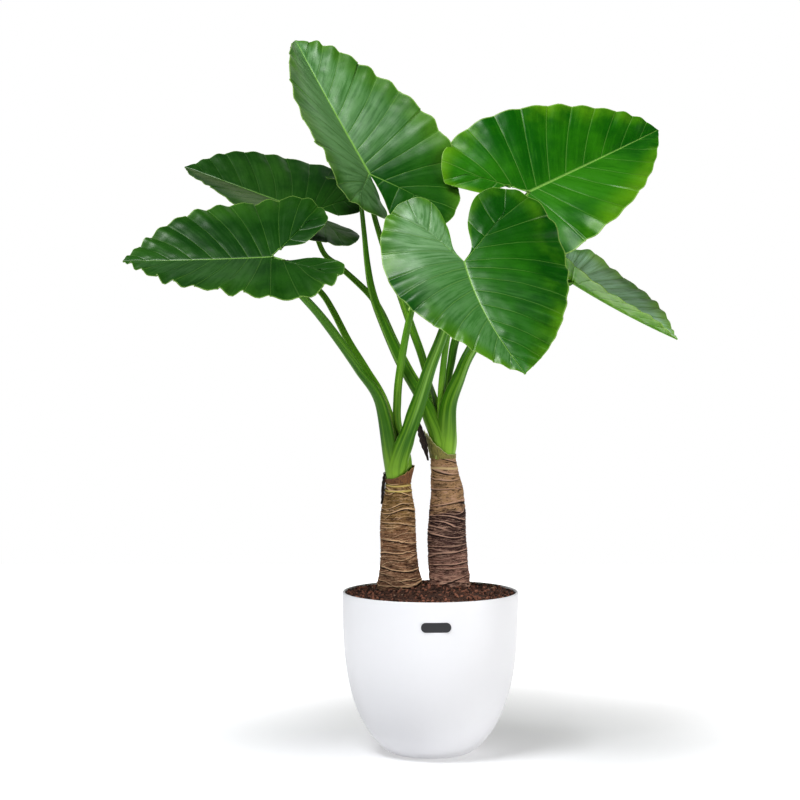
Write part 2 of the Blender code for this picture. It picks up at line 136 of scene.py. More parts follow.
# Stalks: the trunk, the corner of its bundle as an angle and a distance, the blade
# carried, radii from base to top, how far up the sheath reaches as a share and how far
# round each way in degrees, and the places passed
NECK_RISE = 0.036
NECK_SPREAD = 1.30
STALK_SINK = 0.006
STALK_RINGS = 90
SHEATH_POINTS = 15
SHEATH_RADIUS = 0.0217
SHEATH_NARROWING = 0.6
SHEATH_EDGE = 0.0009
BELOW_BLADE = 0.0045
STRIPE_WIDTH = 0.13
STALKS = {
    "stalk_low_left": dict(
        trunk="left", corner=190, spread=0.0135, carries="leaf_low_left",
        radii=(0.0082, 0.0136, 0.0115, 0.0088, 0.0060), sheath=(0.62, 118),
        guides=[(-0.091, -0.020, 0.662), (-0.131, -0.030, 0.725), (-0.172, -0.045, 0.783),
                (-0.208, -0.068, 0.830), (-0.240, -0.090, 0.866), (-0.266, -0.114, 0.901)],
    ),
    "stalk_young_left": dict(
        trunk="left", corner=105, spread=0.0135, carries="leaf_young_left",
        radii=(0.0080, 0.0085, 0.0070, 0.0055, 0.0040), sheath=(0.40, 95),
        guides=[(-0.088, 0.020, 0.660), (-0.121, 0.023, 0.720), (-0.154, 0.030, 0.774),
                (-0.183, 0.040, 0.830), (-0.206, 0.050, 0.865), (-0.241, 0.065, 0.893),
                (-0.285, 0.080, 0.913)],
    ),
    "stalk_spear_left": dict(
        trunk="left", corner=15, spread=0.0135, carries="spear_left",
        radii=(0.0080, 0.0085, 0.0085, 0.0078, 0.0070), sheath=(0.35, 90),
        guides=[(-0.062, 0.000, 0.617), (-0.063, -0.006, 0.665), (-0.059, -0.012, 0.712),
                (-0.048, -0.018, 0.780), (-0.036, -0.020, 0.835)],
    ),
    "stalk_front": dict(
        trunk="left", corner=275, spread=0.0135, carries="leaf_front",
        radii=(0.0082, 0.0150, 0.0118, 0.0088, 0.0060), sheath=(0.45, 90),
        guides=[(-0.022, -0.050, 0.663), (-0.002, -0.078, 0.728), (0.020, -0.110, 0.788),
                (0.041, -0.152, 0.858)],
    ),
    "stalk_back_left": dict(
        trunk="right", corner=88, spread=0.0150, carries="leaf_back_left",
        radii=(0.0070, 0.0085, 0.0070, 0.0055, 0.0045), sheath=(0.30, 90),
        guides=[(-0.004, 0.055, 0.658), (-0.038, 0.068, 0.714), (-0.067, 0.079, 0.771),
                (-0.093, 0.088, 0.828), (-0.118, 0.097, 0.864), (-0.172, 0.118, 0.914),
                (-0.205, 0.136, 0.943)],
    ),
    "stalk_young_back": dict(
        trunk="right", corner=222, spread=0.0150, carries="leaf_young_back",
        radii=(0.0070, 0.0115, 0.0088, 0.0052, 0.0040), sheath=(0.40, 100),
        guides=[(-0.001, 0.000, 0.627), (-0.016, 0.005, 0.668), (-0.057, 0.022, 0.740),
                (-0.095, 0.038, 0.825), (-0.110, 0.048, 0.870), (-0.119, 0.060, 0.923),
                (-0.125, 0.075, 0.980), (-0.131, 0.098, 1.031)],
    ),
    "stalk_top": dict(
        trunk="right", corner=153, spread=0.0150, carries="leaf_top",
        radii=(0.0070, 0.0080, 0.0078, 0.0060, 0.0045), sheath=(0.35, 95),
        guides=[(0.007, 0.024, 0.654), (-0.012, 0.030, 0.735), (-0.036, 0.034, 0.804),
                (-0.072, 0.036, 0.907), (-0.093, 0.042, 0.968), (-0.110, 0.053, 1.030)],
    ),
    "stalk_spear_right": dict(
        trunk="right", corner=0, spread=0.0, carries="spear_right",
        radii=(0.0070, 0.0078, 0.0080, 0.0072, 0.0066), sheath=(0.30, 90),
        guides=[(0.018, 0.000, 0.627), (0.019, -0.003, 0.683), (0.024, -0.009, 0.740),
                (0.031, -0.015, 0.790)],
    ),
    "stalk_right": dict(
        trunk="right", corner=22, spread=0.0150, carries="leaf_right",
        radii=(0.0070, 0.0085, 0.0080, 0.0070, 0.0055), sheath=(0.40, 100),
        guides=[(0.031, 0.022, 0.682), (0.039, 0.023, 0.739), (0.051, 0.022, 0.789),
                (0.086, 0.028, 0.870), (0.136, 0.044, 0.976)],
    ),
    "stalk_far_right": dict(
        trunk="right", corner=310, spread=0.0150, carries="leaf_far_right",
        radii=(0.0072, 0.0120, 0.0112, 0.0085, 0.0060), sheath=(0.55, 115),
        guides=[(0.036, -0.010, 0.655), (0.051, -0.006, 0.702), (0.070, 0.002, 0.748),
                (0.106, 0.022, 0.797), (0.156, 0.052, 0.838), (0.219, 0.098, 0.872)],
    ),
}

# Rolled leaves, and the strips left of old sheaths, with the places they pass. Across
# is the way that a strip's width runs.
SPEARS = {
    "spear_left": [(-0.026, -0.021, 0.880), (-0.016, -0.021, 0.935), (-0.010, -0.020, 0.975)],
    "spear_right": [(0.037, -0.017, 0.825), (0.042, -0.017, 0.865), (0.045, -0.016, 0.895)],
}
DRY_THICKNESS = 0.0009
DRY_SHEATHS = {
    "dry_sheath_left": dict(
        half_width=0.008, across=(0.4, -0.9, 0),
        guides=[(-0.0912, -0.010, 0.470), (-0.0877, -0.008, 0.503), (-0.0850, -0.006, 0.530)],
    ),
    "dry_sheath_right": dict(
        half_width=0.0085, across=(1.0, 0.0, 0),
        guides=[(-0.0045, -0.014, 0.552), (-0.014, -0.015, 0.590), (-0.024, -0.015, 0.625)],
    ),
}

# Half of a blade's outline, from the tip round the lobe to the notch. The first
# list counts forward in blade lengths, the others backward in lobe lengths, and
# all count sideways in half widths. A blade's notch value widens the third.
FRONT_OUTLINE = [(1.00, 0.0), (0.91, 0.21), (0.77, 0.455), (0.575, 0.695), (0.33, 0.89), (0.06, 1.0)]
LOBE_OUTLINE = [(0.42, 1.0), (0.82, 0.84), (1.0, 0.56)]
NOTCH_OUTLINE = [(0.93, 0.27), (0.58, 0.12), (0.20, 0.10), (0.0, 0.0)]
LOBE_RIB = (0.66, 0.50)
RIB_CROWDING = 1.35

# Veins and surface of a blade
FRONT_VEINS = 8
LOBE_VEINS = 4
BETWEEN_VEINS = (0.0, 0.03, 0.08, 0.16, 0.28, 0.42, 0.58, 0.72, 0.84, 0.92, 0.97)
BLADE_ROWS = 26
VEIN_BOW = 0.035
CREASE = 0.004
SHEET = 0.0011
THICKEST = 0.0062
QUILT = 0.0009
MARGIN_WAVE = 0.0034
SLOW_WAVE = 0.0045
SCALLOP = 0.0024
RIPPLE = 0.0011

# Blades: where the stalk joins, heading, pitch and roll in degrees, the length to the
# tip, half widths and lobe lengths. Fold lifts the margins, arch bends them down, droop
# and lobe droop lower the tip and the lobes, and sweep turns the tip aside. Pairs are
# side 0, the one to the left when the tip points away from you and the top is up, then
# side 1. Waves say how far the margin bulges up between the veins, or down below 0, and
# tones how much painted sheen lies on the front and the lobe, or how much painted shade
# below 0. Colours are deep green, fresh green, the colour of the painted sheen and the
# yellowing at the margin. Yellowed says how much of that shows, and veined how bright the
# veins are.
FRESH_VEIN = (0.27, 0.50, 0.11)
MARGIN_LINE = (0.36, 0.55, 0.14)
UNDERSIDE = (0.120, 0.260, 0.040)
LEAVES = {
    "leaf_low_left": dict(
        joint=(-0.290, -0.140, 0.931), heading=187, pitch=-3, roll=31,
        length=0.267, width=(0.169, 0.177), lobe=(0.123, 0.112),
        fold=0.21, arch=0.11, droop=0.02, lobe_droop=-0.11, sweep=-0.08, notch=1.4,
        waves=(-1.5, 0.8), tones=((0.35, -0.5), (0.1, -0.7)), yellowed=0.20, veined=0.20,
        colours=((0.005, 0.058, 0.002), (0.026, 0.120, 0.008), (0.12, 0.22, 0.10), (0.10, 0.26, 0.02)),
    ),
    "leaf_back_left": dict(
        joint=(-0.230, 0.160, 1.020), heading=172, pitch=20, roll=23,
        length=0.269, width=(0.172, 0.182), lobe=(0.118, 0.088),
        fold=0.32, arch=0.18, droop=0.04, lobe_droop=0.0, sweep=-0.08, notch=1.0,
        waves=(-0.4, 0.35), tones=((0.6, 0.4), (0.1, -0.3)), yellowed=0.12, veined=0.12,
        colours=((0.006, 0.060, 0.003), (0.028, 0.118, 0.009), (0.15, 0.20, 0.09), (0.06, 0.14, 0.03)),
    ),
    "leaf_top": dict(
        joint=(-0.115, 0.050, 1.090), heading=144, pitch=55, roll=14,
        length=0.346, width=(0.190, 0.141), lobe=(0.102, 0.150),
        fold=0.62, arch=0.04, droop=0.12, lobe_droop=0.17, sweep=-0.14, notch=0.15,
        waves=(0.6, 0.6), tones=((1.0, 0.8), (0.50, -0.5)), yellowed=0.35, veined=0.34,
        colours=((0.005, 0.085, 0.002), (0.032, 0.160, 0.008), (0.20, 0.39, 0.16), (0.20, 0.40, 0.03)),
    ),
    "leaf_right": dict(
        joint=(0.185, 0.060, 1.055), heading=18, pitch=24, roll=-53,
        length=0.322, width=(0.162, 0.170), lobe=(0.133, 0.119),
        fold=0.39, arch=0.16, droop=0.17, lobe_droop=0.06, sweep=0.11, notch=1.7,
        waves=(0.4, -0.7), tones=((0.0, -0.35), (0.1, 0.3)), yellowed=0.60, veined=0.42,
        colours=((0.006, 0.120, 0.001), (0.040, 0.240, 0.002), (0.16, 0.36, 0.14), (0.20, 0.42, 0.010)),
    ),
    "leaf_front": dict(
        joint=(0.058, -0.200, 0.922), heading=-74, pitch=-49, roll=-7,
        length=0.250, width=(0.188, 0.142), lobe=(0.150, 0.141),
        fold=0.19, arch=0.26, droop=0.07, lobe_droop=-0.11, sweep=0.24, notch=1.0,
        waves=(0.9, 0.9), tones=((0.15, -0.7), (0.45, 0.85)), yellowed=0.45, veined=0.32,
        colours=((0.003, 0.085, 0.001), (0.026, 0.180, 0.003), (0.20, 0.37, 0.17), (0.20, 0.42, 0.010)),
    ),
    # Painted light: this blade's greens and sheen colour are much paler than the others', standing in for
    # the light on it.
    "leaf_far_right": dict(
        joint=(0.276, 0.140, 0.888), heading=-20, pitch=-32, roll=2,
        length=0.234, width=(0.140, 0.102), lobe=(0.080, 0.066),
        fold=0.34, arch=-0.03, droop=-0.07, lobe_droop=0.14, sweep=0.0, notch=1.0,
        waves=(0.3, 0.3), tones=((1.0, 1.0), (0.0, 0.0)), yellowed=0.45, veined=0.30,
        colours=((0.100, 0.340, 0.015), (0.240, 0.520, 0.045), (0.60, 0.86, 0.66), (0.45, 0.66, 0.10)),
    ),
    "leaf_young_left": dict(
        joint=(-0.340, 0.092, 0.930), heading=165, pitch=-5, roll=10,
        length=0.140, width=(0.075, 0.075), lobe=(0.030, 0.030),
        fold=0.20, arch=0.15, droop=0.10, lobe_droop=0.05, sweep=0.0, notch=1.0,
        waves=(0.4, 0.4), tones=((0.0, 0.0), (0.0, 0.0)), yellowed=0.30, veined=0.20,
        colours=((0.008, 0.120, 0.002), (0.022, 0.230, 0.005), (0.10, 0.20, 0.08), (0.15, 0.32, 0.03)),
    ),
    "leaf_young_back": dict(
        joint=(-0.141, 0.130, 1.089), heading=45, pitch=8, roll=0,
        length=0.180, width=(0.055, 0.055), lobe=(0.045, 0.045),
        fold=0.20, arch=0.15, droop=0.15, lobe_droop=0.05, sweep=0.0, notch=1.0,
        waves=(0.4, 0.4), tones=((0.0, 0.0), (0.0, 0.0)), yellowed=0.25, veined=0.20,
        colours=((0.008, 0.070, 0.003), (0.028, 0.130, 0.009), (0.10, 0.20, 0.08), (0.14, 0.32, 0.03)),
    ),
}

# Bark: painted crease shade, foot, lower stem, upper stem, ridge (pale scars and painted highlight) and band
BARK_BROWN = (
    (0.010, 0.004, 0.002), (0.260, 0.140, 0.084), (0.270, 0.140, 0.076), (0.280, 0.170, 0.064),
    (0.760, 0.520, 0.320), (0.640, 0.520, 0.180),
)
BARK_TAN = (
    (0.010, 0.004, 0.004), (0.400, 0.225, 0.170), (0.062, 0.030, 0.026), (0.400, 0.250, 0.130),
    (0.560, 0.360, 0.270), (0.640, 0.500, 0.280),
)

# Collars: dark and light fibres and the rim
HUSK_ORANGE = ((0.075, 0.026, 0.009), (0.300, 0.140, 0.045), (0.36, 0.24, 0.08))
HUSK_OLIVE = ((0.110, 0.100, 0.022), (0.330, 0.300, 0.080), (0.62, 0.60, 0.30))

# Stalks: foot, middle and top, the dark lines, the pale stripe and the sheath's edge
STALK_GREENS = ((0.240, 0.440, 0.040), (0.050, 0.165, 0.007), (0.066, 0.200, 0.012))
YOUNG_GREENS = ((0.260, 0.460, 0.050), (0.090, 0.240, 0.012), (0.110, 0.270, 0.020))
DARK_LINE = (0.020, 0.100, 0.003)
PALE_STRIPE = (0.270, 0.480, 0.100)
SHEATH_RIM = (0.52, 0.66, 0.24)
SLIM_STALKS = ("stalk_spear_left", "stalk_spear_right", "stalk_young_left", "stalk_back_left", "stalk_top")


# Helpers for shapes

def smooth(low, high, value):
    """0 at low and before, 1 at high and after, easing between."""
    share = np.clip((np.asarray(value, float) - low) / (high - low), 0.0, 1.0)
    return share * share * (3 - 2 * share)


def line_where(field, level, width):
    """1 where the field passes the level, fading over the width."""
    return np.exp(-(((field - level) / width) ** 2))


def through(points, shares):
    """Places at shares 0..1 of a smooth curve through the points."""
    points = np.asarray(points, float)
    first = 2 * points[0] - points[1]
    last = 2 * points[-1] - points[-2]
    padded = np.vstack([first, points, last])
    at = np.clip(np.asarray(shares, float), 0.0, 1.0) * (len(points) - 1)
    i = np.minimum(at.astype(int), len(points) - 2)
    f = (at - i)[..., None]
    before, a, b, after = (padded[i + k] for k in range(4))
    return 0.5 * (
        2 * a
        + (b - before) * f
        + (2 * before - 5 * a + 4 * b - after) * f**2
        + (3 * a - before - 3 * b + after) * f**3
    )


def along(values, shares):
    """Single values read off a smooth curve, such as radii along a stem."""
    return through([(v,) for v in values], shares)[..., 0]


def even_shares(path, count):
    """Shares of a path that lie at even distances along it."""
    fine = np.linspace(0, 1, 400)
    steps = np.linalg.norm(np.diff(through(path, fine), axis=0), axis=1)
    run = np.concatenate([[0.0], np.cumsum(steps)])
    return np.interp(np.linspace(0, run[-1], count), run, fine)


def unit(vectors):
    return vectors / np.maximum(np.linalg.norm(vectors, axis=-1, keepdims=True), 1e-9)


def grain(points, scale, seed=0.0):
    """Smooth noise, about -1 to 1, at each point."""
    shift = Vector((seed * 3.7, seed * 1.3, seed * 5.1))
    flat = np.asarray(points, float).reshape(-1, 3) * scale
    values = [noise.noise(Vector(p) + shift) for p in flat]
    return np.array(values).reshape(np.asarray(points).shape[:-1])


def grid_faces(columns, rows, start=0, around=False):
    """Quads of a grid of vertices stored column by column."""
    faces = []
    for i in range(columns if around else columns - 1):
        a, b = start + i * rows, start + (i + 1) % columns * rows
        faces += [(a + j, b + j, b + j + 1, a + j + 1) for j in range(rows - 1)]
    return faces


def tube_faces(columns, rows):
    """Faces of a tube, its columns of vertices running along it, closed at both ends."""
    faces = grid_faces(columns, rows, around=True)
    faces.append([i * rows for i in range(columns)])
    faces.append([i * rows + rows - 1 for i in reversed(range(columns))])
    return faces


def round_angles(count):
    """Angles at even steps all the way round."""
    return 2 * math.pi * np.arange(count) / count


def outward_at(turn):
    """Level unit vectors at these angles."""
    return np.stack([np.cos(turn), np.sin(turn), 0 * turn], axis=1)


def on_drum(across, height):
    """Places for noise on a drum, one for each direction and height."""
    places = np.broadcast_arrays(across[:, None, 0] * DRUM, across[:, None, 1] * DRUM, height)
    return np.stack(places, axis=2)


def new_piece(name, vertices, faces, values=None, uv=None):
    """A mesh object with named values at its vertices and, if given, a UV map."""
    mesh = bpy.data.meshes.new(name)
    mesh.from_pydata(np.asarray(vertices).reshape(-1, 3).tolist(), [], faces)
    for key, numbers in (values or {}).items():
        layer = mesh.attributes.new(key, "FLOAT", "POINT")
        layer.data.foreach_set("value", np.asarray(numbers, np.float32).ravel())
    if uv is not None:
        corners = np.zeros(len(mesh.loops), int)
        mesh.loops.foreach_get("vertex_index", corners)
        layer = mesh.uv_layers.new(name="surface")
        layer.data.foreach_set("uv", uv.reshape(-1, 2)[corners].astype(np.float32).ravel())
    mesh.shade_smooth()
    piece = bpy.data.objects.new(name, mesh)
    bpy.context.scene.collection.objects.link(piece)
    return piece


def tidy_mesh(piece, merge=0.00005, outward=True):
    """Joins points that coincide and, unless told not to, turns the faces outward."""
    bm = bmesh.new()
    bm.from_mesh(piece.data)
    bmesh.ops.remove_doubles(bm, verts=bm.verts, dist=merge)
    if outward:
        bmesh.ops.recalc_face_normals(bm, faces=bm.faces)
    bm.to_mesh(piece.data)
    bm.free()


def thicken(piece, thickness, offset=0.0):
    """Turns a sheet into a solid, by default to both sides of it."""
    made = piece.modifiers.new("Thickness", "SOLIDIFY")
    made.thickness, made.offset = thickness, offset
    return made


def settle(piece):
    """Makes a piece's modifiers part of its mesh."""
    bpy.context.view_layer.update()
    shaped = piece.evaluated_get(bpy.context.evaluated_depsgraph_get())
    mesh = bpy.data.meshes.new_from_object(shaped)
    old = piece.data
    piece.modifiers.clear()
    piece.data = mesh
    bpy.data.meshes.remove(old)


def stand_for(piece, node, slot, *finishes):
    """Gives a piece its materials and lets it stand for a node of the frame."""
    piece.data.materials.clear()
    for finish in finishes:
        piece.data.materials.append(finish)
    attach(piece, "root")
    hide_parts(node)


# Helpers for materials

def feed(tree, socket, value):
    if isinstance(value, bpy.types.NodeSocket):
        tree.links.new(value, socket)
    elif isinstance(value, tuple) and socket.type == "RGBA":
        socket.default_value = (*value, 1.0)
    else:
        socket.default_value = value


def add(tree, kind, inputs=None, **settings):
    made = tree.nodes.new("ShaderNode" + kind)
    for key, value in settings.items():
        setattr(made, key, value)
    for key, value in (inputs or {}).items():
        feed(tree, made.inputs[key], value)
    return made


def blend(tree, share, first, second):
    """Colour mixed from first to second."""
    made = add(tree, "Mix", data_type="RGBA")
    for place, value in ((0, share), (6, first), (7, second)):
        feed(tree, made.inputs[place], value)
    return made.outputs[2]


def sums(tree, how, first, second):
    made = add(tree, "Math", operation=how)
    feed(tree, made.inputs[0], first)
    feed(tree, made.inputs[1], second)
    return made.outputs[0]


def between(tree, value, low, high, bottom=0.0, top=1.0):
    """Value eased from bottom to top as it goes from low to high."""
    ends = {"From Min": low, "From Max": high, "To Min": bottom, "To Max": top}
    made = add(tree, "MapRange", {"Value": value, **ends}, interpolation_type="SMOOTHSTEP")
    return made.outputs["Result"]


def layered(tree, colour, *layers):
    """Lays colours over one another. A layer is a value, the low and high level that it
    passes between, how much of its colour shows at each of them, and the colour."""
    for value, low, high, bottom, top, over in layers:
        colour = blend(tree, between(tree, value, low, high, bottom, top), colour, over)
    return colour


def texture(tree, where, scale, detail=3.0, roughness=0.5):
    """Noise of one scale, or of a scale along each axis."""
    if isinstance(scale, tuple):
        where = add(tree, "VectorMath", {0: where, 1: scale}, operation="MULTIPLY").outputs[0]
        scale = 1.0
    inputs = {"Vector": where, "Scale": scale, "Detail": detail, "Roughness": roughness}
    return add(tree, "TexNoise", inputs).outputs[0]


def values_of(tree, *names):
    """The values that a mesh holds under these names."""
    return [add(tree, "Attribute", attribute_name=name).outputs["Fac"] for name in names]


def new_material(name):
    made = bpy.data.materials.new(name)
    made.use_nodes = True
    tree = made.node_tree
    place = add(tree, "TexCoord").outputs["Object"]
    return made, tree, place


def finished(made, colour, rough, bump, gloss=None):
    """Gives a material its colour, its roughness and gloss, each as what between()
    takes, and its relief as a height, a strength and a distance."""
    tree = made.node_tree
    shader = tree.nodes["Principled BSDF"]
    feed(tree, shader.inputs["Base Color"], colour)
    feed(tree, shader.inputs["Roughness"], between(tree, *rough))
    if gloss:
        feed(tree, shader.inputs["Specular IOR Level"], between(tree, *gloss))
    relief = add(tree, "Bump", dict(zip(("Height", "Strength", "Distance"), bump)))
    tree.links.new(relief.outputs[0], shader.inputs["Normal"])
    return made


# Materials

def planter_white():
    made, tree, place = new_material("planter_white")
    clouds = texture(tree, place, 9.0, 4.0)
    colour = blend(tree, clouds, (0.78, 0.78, 0.80), (0.82, 0.82, 0.84))
    skin = texture(tree, place, 420.0, 2.0)
    return finished(made, colour, (clouds, 0.3, 0.7, 0.36, 0.44), (skin, 0.06, 0.0004))


def badge_black():
    made, tree, place = new_material("badge_black")
    brushed = texture(tree, place, (40.0, 40.0, 2600.0), 3.0)
    colour = blend(tree, brushed, (0.022, 0.023, 0.027), (0.045, 0.046, 0.052))
    return finished(made, colour, (brushed, 0.3, 0.7, 0.28, 0.42), (brushed, 0.05, 0.0002))


def soil_brown():
    made, tree, place = new_material("soil_brown")
    [shade] = values_of(tree, "shade")
    fine = texture(tree, place, 900.0, 5.0, 0.65)
    colour = layered(
        tree, (0.016, 0.005, 0.003),
        (shade, 0.1, 0.95, 0.0, 1.0, (0.350, 0.150, 0.094)),
        (fine, 0.50, 0.68, 0.0, 0.7, (0.340, 0.170, 0.110)),
        (shade, 0.985, 0.992, 0.0, 1.0, (0.50, 0.36, 0.26)),
    )
    return finished(made, colour, (fine, 0.2, 0.8, 0.78, 0.98), (fine, 0.6, 0.0009))


def bark(name, tones, change=(0.45, 0.70)):
    """Wrinkled bark. Change is the stretch of the height over which the lower stem's
    colour turns into the upper stem's. The crease colour is painted shade in the ring
    creases and the low parts of the fine relief, and the ridge colour is partly the
    scars' pale colour and partly painted highlight."""
    made, tree, place = new_material(name)
    crease_shade, foot, lower, upper, ridge_pale_and_highlight, band_pale = tones
    threads = texture(tree, place, (60.0, 60.0, 360.0), 6.0, 0.75)
    patches = texture(tree, place, (24.0, 24.0, 85.0), 5.0, 0.65)
    pits = texture(tree, place, (230.0, 230.0, 520.0), 3.0, 0.7)
    height, depth, ridge, band = values_of(tree, "height", "depth", "ridge", "band")
    rise = sums(tree, "ADD", height, between(tree, patches, 0.3, 0.7, -0.12, 0.12))
    colour = layered(
        tree, foot,
        (rise, 0.10, 0.34, 0.0, 1.0, lower),
        (rise, *change, 0.0, 1.0, upper),
        (patches, 0.52, 0.68, 0.0, 0.5, ridge_pale_and_highlight),
        (patches, 0.34, 0.48, 0.60, 0.0, crease_shade),
        (threads, 0.54, 0.62, 0.0, 0.6, ridge_pale_and_highlight),
        # Painted shade in the low parts of the fine relief.
        (threads, 0.38, 0.48, 0.88, 0.0, crease_shade),
        (pits, 0.34, 0.44, 0.80, 0.0, crease_shade),
        # Ridges: the scars' pale rims, partly painted highlight.
        (ridge, 0.25, 0.9, 0.0, 0.85, ridge_pale_and_highlight),
        (band, 0.3, 0.9, 0.0, 0.85, band_pale),
        # Painted shade: near black in the ring creases.
        (depth, 0.25, 0.85, 0.0, 0.93, crease_shade),
    )
    relief = (sums(tree, "ADD", threads, pits), 0.7, 0.0012)
    return finished(made, colour, (threads, 0.3, 0.7, 0.70, 0.92), relief, (threads, 0.3, 0.7, 0.10, 0.30))


def husk_fibre(name, dark, light, rim):
    """The dry foot of an old sheath: upright fibres and a paler torn rim."""
    made, tree, place = new_material(name)
    fibre = texture(tree, place, (700.0, 700.0, 120.0), 5.0, 0.7)
    patches = texture(tree, place, 160.0, 4.0, 0.6)
    [edge] = values_of(tree, "edge")
    colour = layered(
        tree, dark,
        (fibre, 0.32, 0.68, 0.0, 1.0, light),
        (patches, 0.34, 0.48, 0.75, 0.0, dark),
    )
    colour = blend(tree, edge, colour, rim)
    return finished(made, colour, (fibre, 0.3, 0.7, 0.55, 0.85), (fibre, 0.6, 0.0010))


def dry_brown():
    made, tree, place = new_material("dry_brown")
    fibre = texture(tree, place, (900.0, 900.0, 60.0), 5.0, 0.7)
    colour = layered(tree, (0.006, 0.004, 0.003), (fibre, 0.42, 0.66, 0.0, 1.0, (0.060, 0.032, 0.020)))
    return finished(made, colour, (fibre, 0.3, 0.7, 0.6, 0.9), (fibre, 0.5, 0.0008))


def stalk_green(name, low, middle, high, lines_around):
    """Smooth stalk: pale at the foot of its sheath, with fine lengthwise lines."""
    made, tree, place = new_material(name)
    spot = add(tree, "UVMap", uv_map="surface").outputs[0]
    lines = texture(tree, spot, (lines_around, 1.4, 1.0), 3.0, 0.6)
    clouds = texture(tree, place, 20.0, 3.0)
    rise, stripe, edge = values_of(tree, "height", "stripe", "edge")
    colour = layered(
        tree, low,
        (rise, 0.03, 0.20, 0.0, 1.0, middle),
        (rise, 0.45, 1.0, 0.0, 1.0, high),
        (clouds, 0.35, 0.7, 0.0, 0.35, high),
        (lines, 0.50, 0.66, 0.0, 0.55, low),
        (lines, 0.34, 0.50, 0.60, 0.0, DARK_LINE),
        (stripe, 0.1, 0.9, 0.0, 0.75, PALE_STRIPE),
        (edge, 0.35, 0.9, 0.0, 1.0, SHEATH_RIM),
    )
    relief = (lines, 0.5, 0.0002)
    return finished(made, colour, (clouds, 0.3, 0.7, 0.32, 0.44), relief, (clouds, 0.3, 0.7, 0.16, 0.24))


def blade_green(name, leaf, under=False):
    """Leathery blade, with painted sheen and painted shade on parts of each half and painted shade along the
    veins. The underside is paler and duller than the top.
    """
    made, tree, place = new_material(name)
    deep, fresh, pale, yellowing = leaf["colours"]
    veined = leaf["veined"]
    spot = add(tree, "UVMap", uv_map="surface").outputs[0]
    clouds = texture(tree, place, 8.0, 4.0, 0.55)
    lines = texture(tree, spot, (9.0, 1.6, 1.0), 5.0, 0.70)
    cells = texture(tree, place, 300.0, 3.0, 0.6)
    margin, vein, rib, sheen_and_shade, vein_groove_shade = values_of(tree, "margin", "vein", "rib", "sheen_and_shade", "vein_groove_shade")
    colour = layered(
        tree, deep,
        (clouds, 0.34, 0.66, 0.0, 1.0, fresh),
        (lines, 0.50, 0.64, 0.0, 0.40, fresh),
        (lines, 0.36, 0.48, 0.40, 0.0, deep),
    )
    # Painted sheen: the pale colour laid on in streaks where the value is above 0.
    sheen_streaks = between(tree, lines, 0.36, 0.58, 0.45, 1.0)
    painted_sheen = sums(tree, "MULTIPLY", between(tree, sheen_and_shade, 0.0, 1.0, 0.0, 1.1), sheen_streaks)
    colour = blend(tree, painted_sheen, colour, pale)
    colour = layered(
        tree, colour,
        # Painted shade: deep green where the value is below 0.
        (sheen_and_shade, -1.0, 0.0, 0.8, 0.0, deep),
        # Painted shade in a band along each vein groove.
        (vein_groove_shade, 0.2, 1.0, 0.0, 0.30, deep),
    )
    turning = sums(tree, "MULTIPLY", between(tree, margin, 0.62, 1.02), between(tree, clouds, 0.38, 0.62))
    colour = blend(tree, sums(tree, "MULTIPLY", turning, leaf["yellowed"]), colour, yellowing)
    colour = layered(
        tree, colour,
        (vein, 0.25, 0.95, 0.0, veined, FRESH_VEIN),
        (rib, 0.2, 0.8, 0.0, 0.5 + veined, FRESH_VEIN),
        (margin, 0.982, 0.994, 0.0, 0.3 + veined, MARGIN_LINE),
    )
    if under:
        colour = blend(tree, 0.30, colour, UNDERSIDE)
    dull = 0.14 if under else 0.0
    rough = (lines, 0.3, 0.7, 0.29 + dull, 0.41 + dull)
    relief = sums(tree, "ADD", sums(tree, "MULTIPLY", cells, 0.35), lines)
    finished(made, colour, rough, (relief, 0.6, 0.00022), (clouds, 0.3, 0.7, 0.30, 0.40))
    shader = tree.nodes["Principled BSDF"]
    through_light = add(tree, "BsdfTranslucent", {"Color": blend(tree, 0.55, colour, yellowing)})
    both = add(tree, "MixShader", {0: 0.20, 1: shader.outputs[0], 2: through_light.outputs[0]})
    tree.links.new(both.outputs[0], tree.nodes["Material Output"].inputs["Surface"])
    return made


# Planter, badge and soil

def pot_radius(height):
    """Outer radius: steep at the rim, rounding in to the foot."""
    depth = np.clip(1 - np.asarray(height, float) / POT_HEIGHT, 0.0, 1.0)
    return FOOT_RADIUS + (POT_RADIUS - FOOT_RADIUS) * (1 - depth**3) ** (1 / 1.5)


def turned(profile, sides):
    """Points and faces of a solid of revolution of an (r, z) profile."""
    profile = np.asarray(profile, float)
    turn = round_angles(sides)
    points = outward_at(turn)[:, None] * profile[None, :, :1]
    points[..., 2] = profile[:, 1]
    return points, grid_faces(sides, len(profile), around=True)


def rising(count, start, stop, power=1.6):
    """Heights from start to stop, closer together low down."""
    return start + (stop - start) * (np.arange(count + 1) / count) ** power


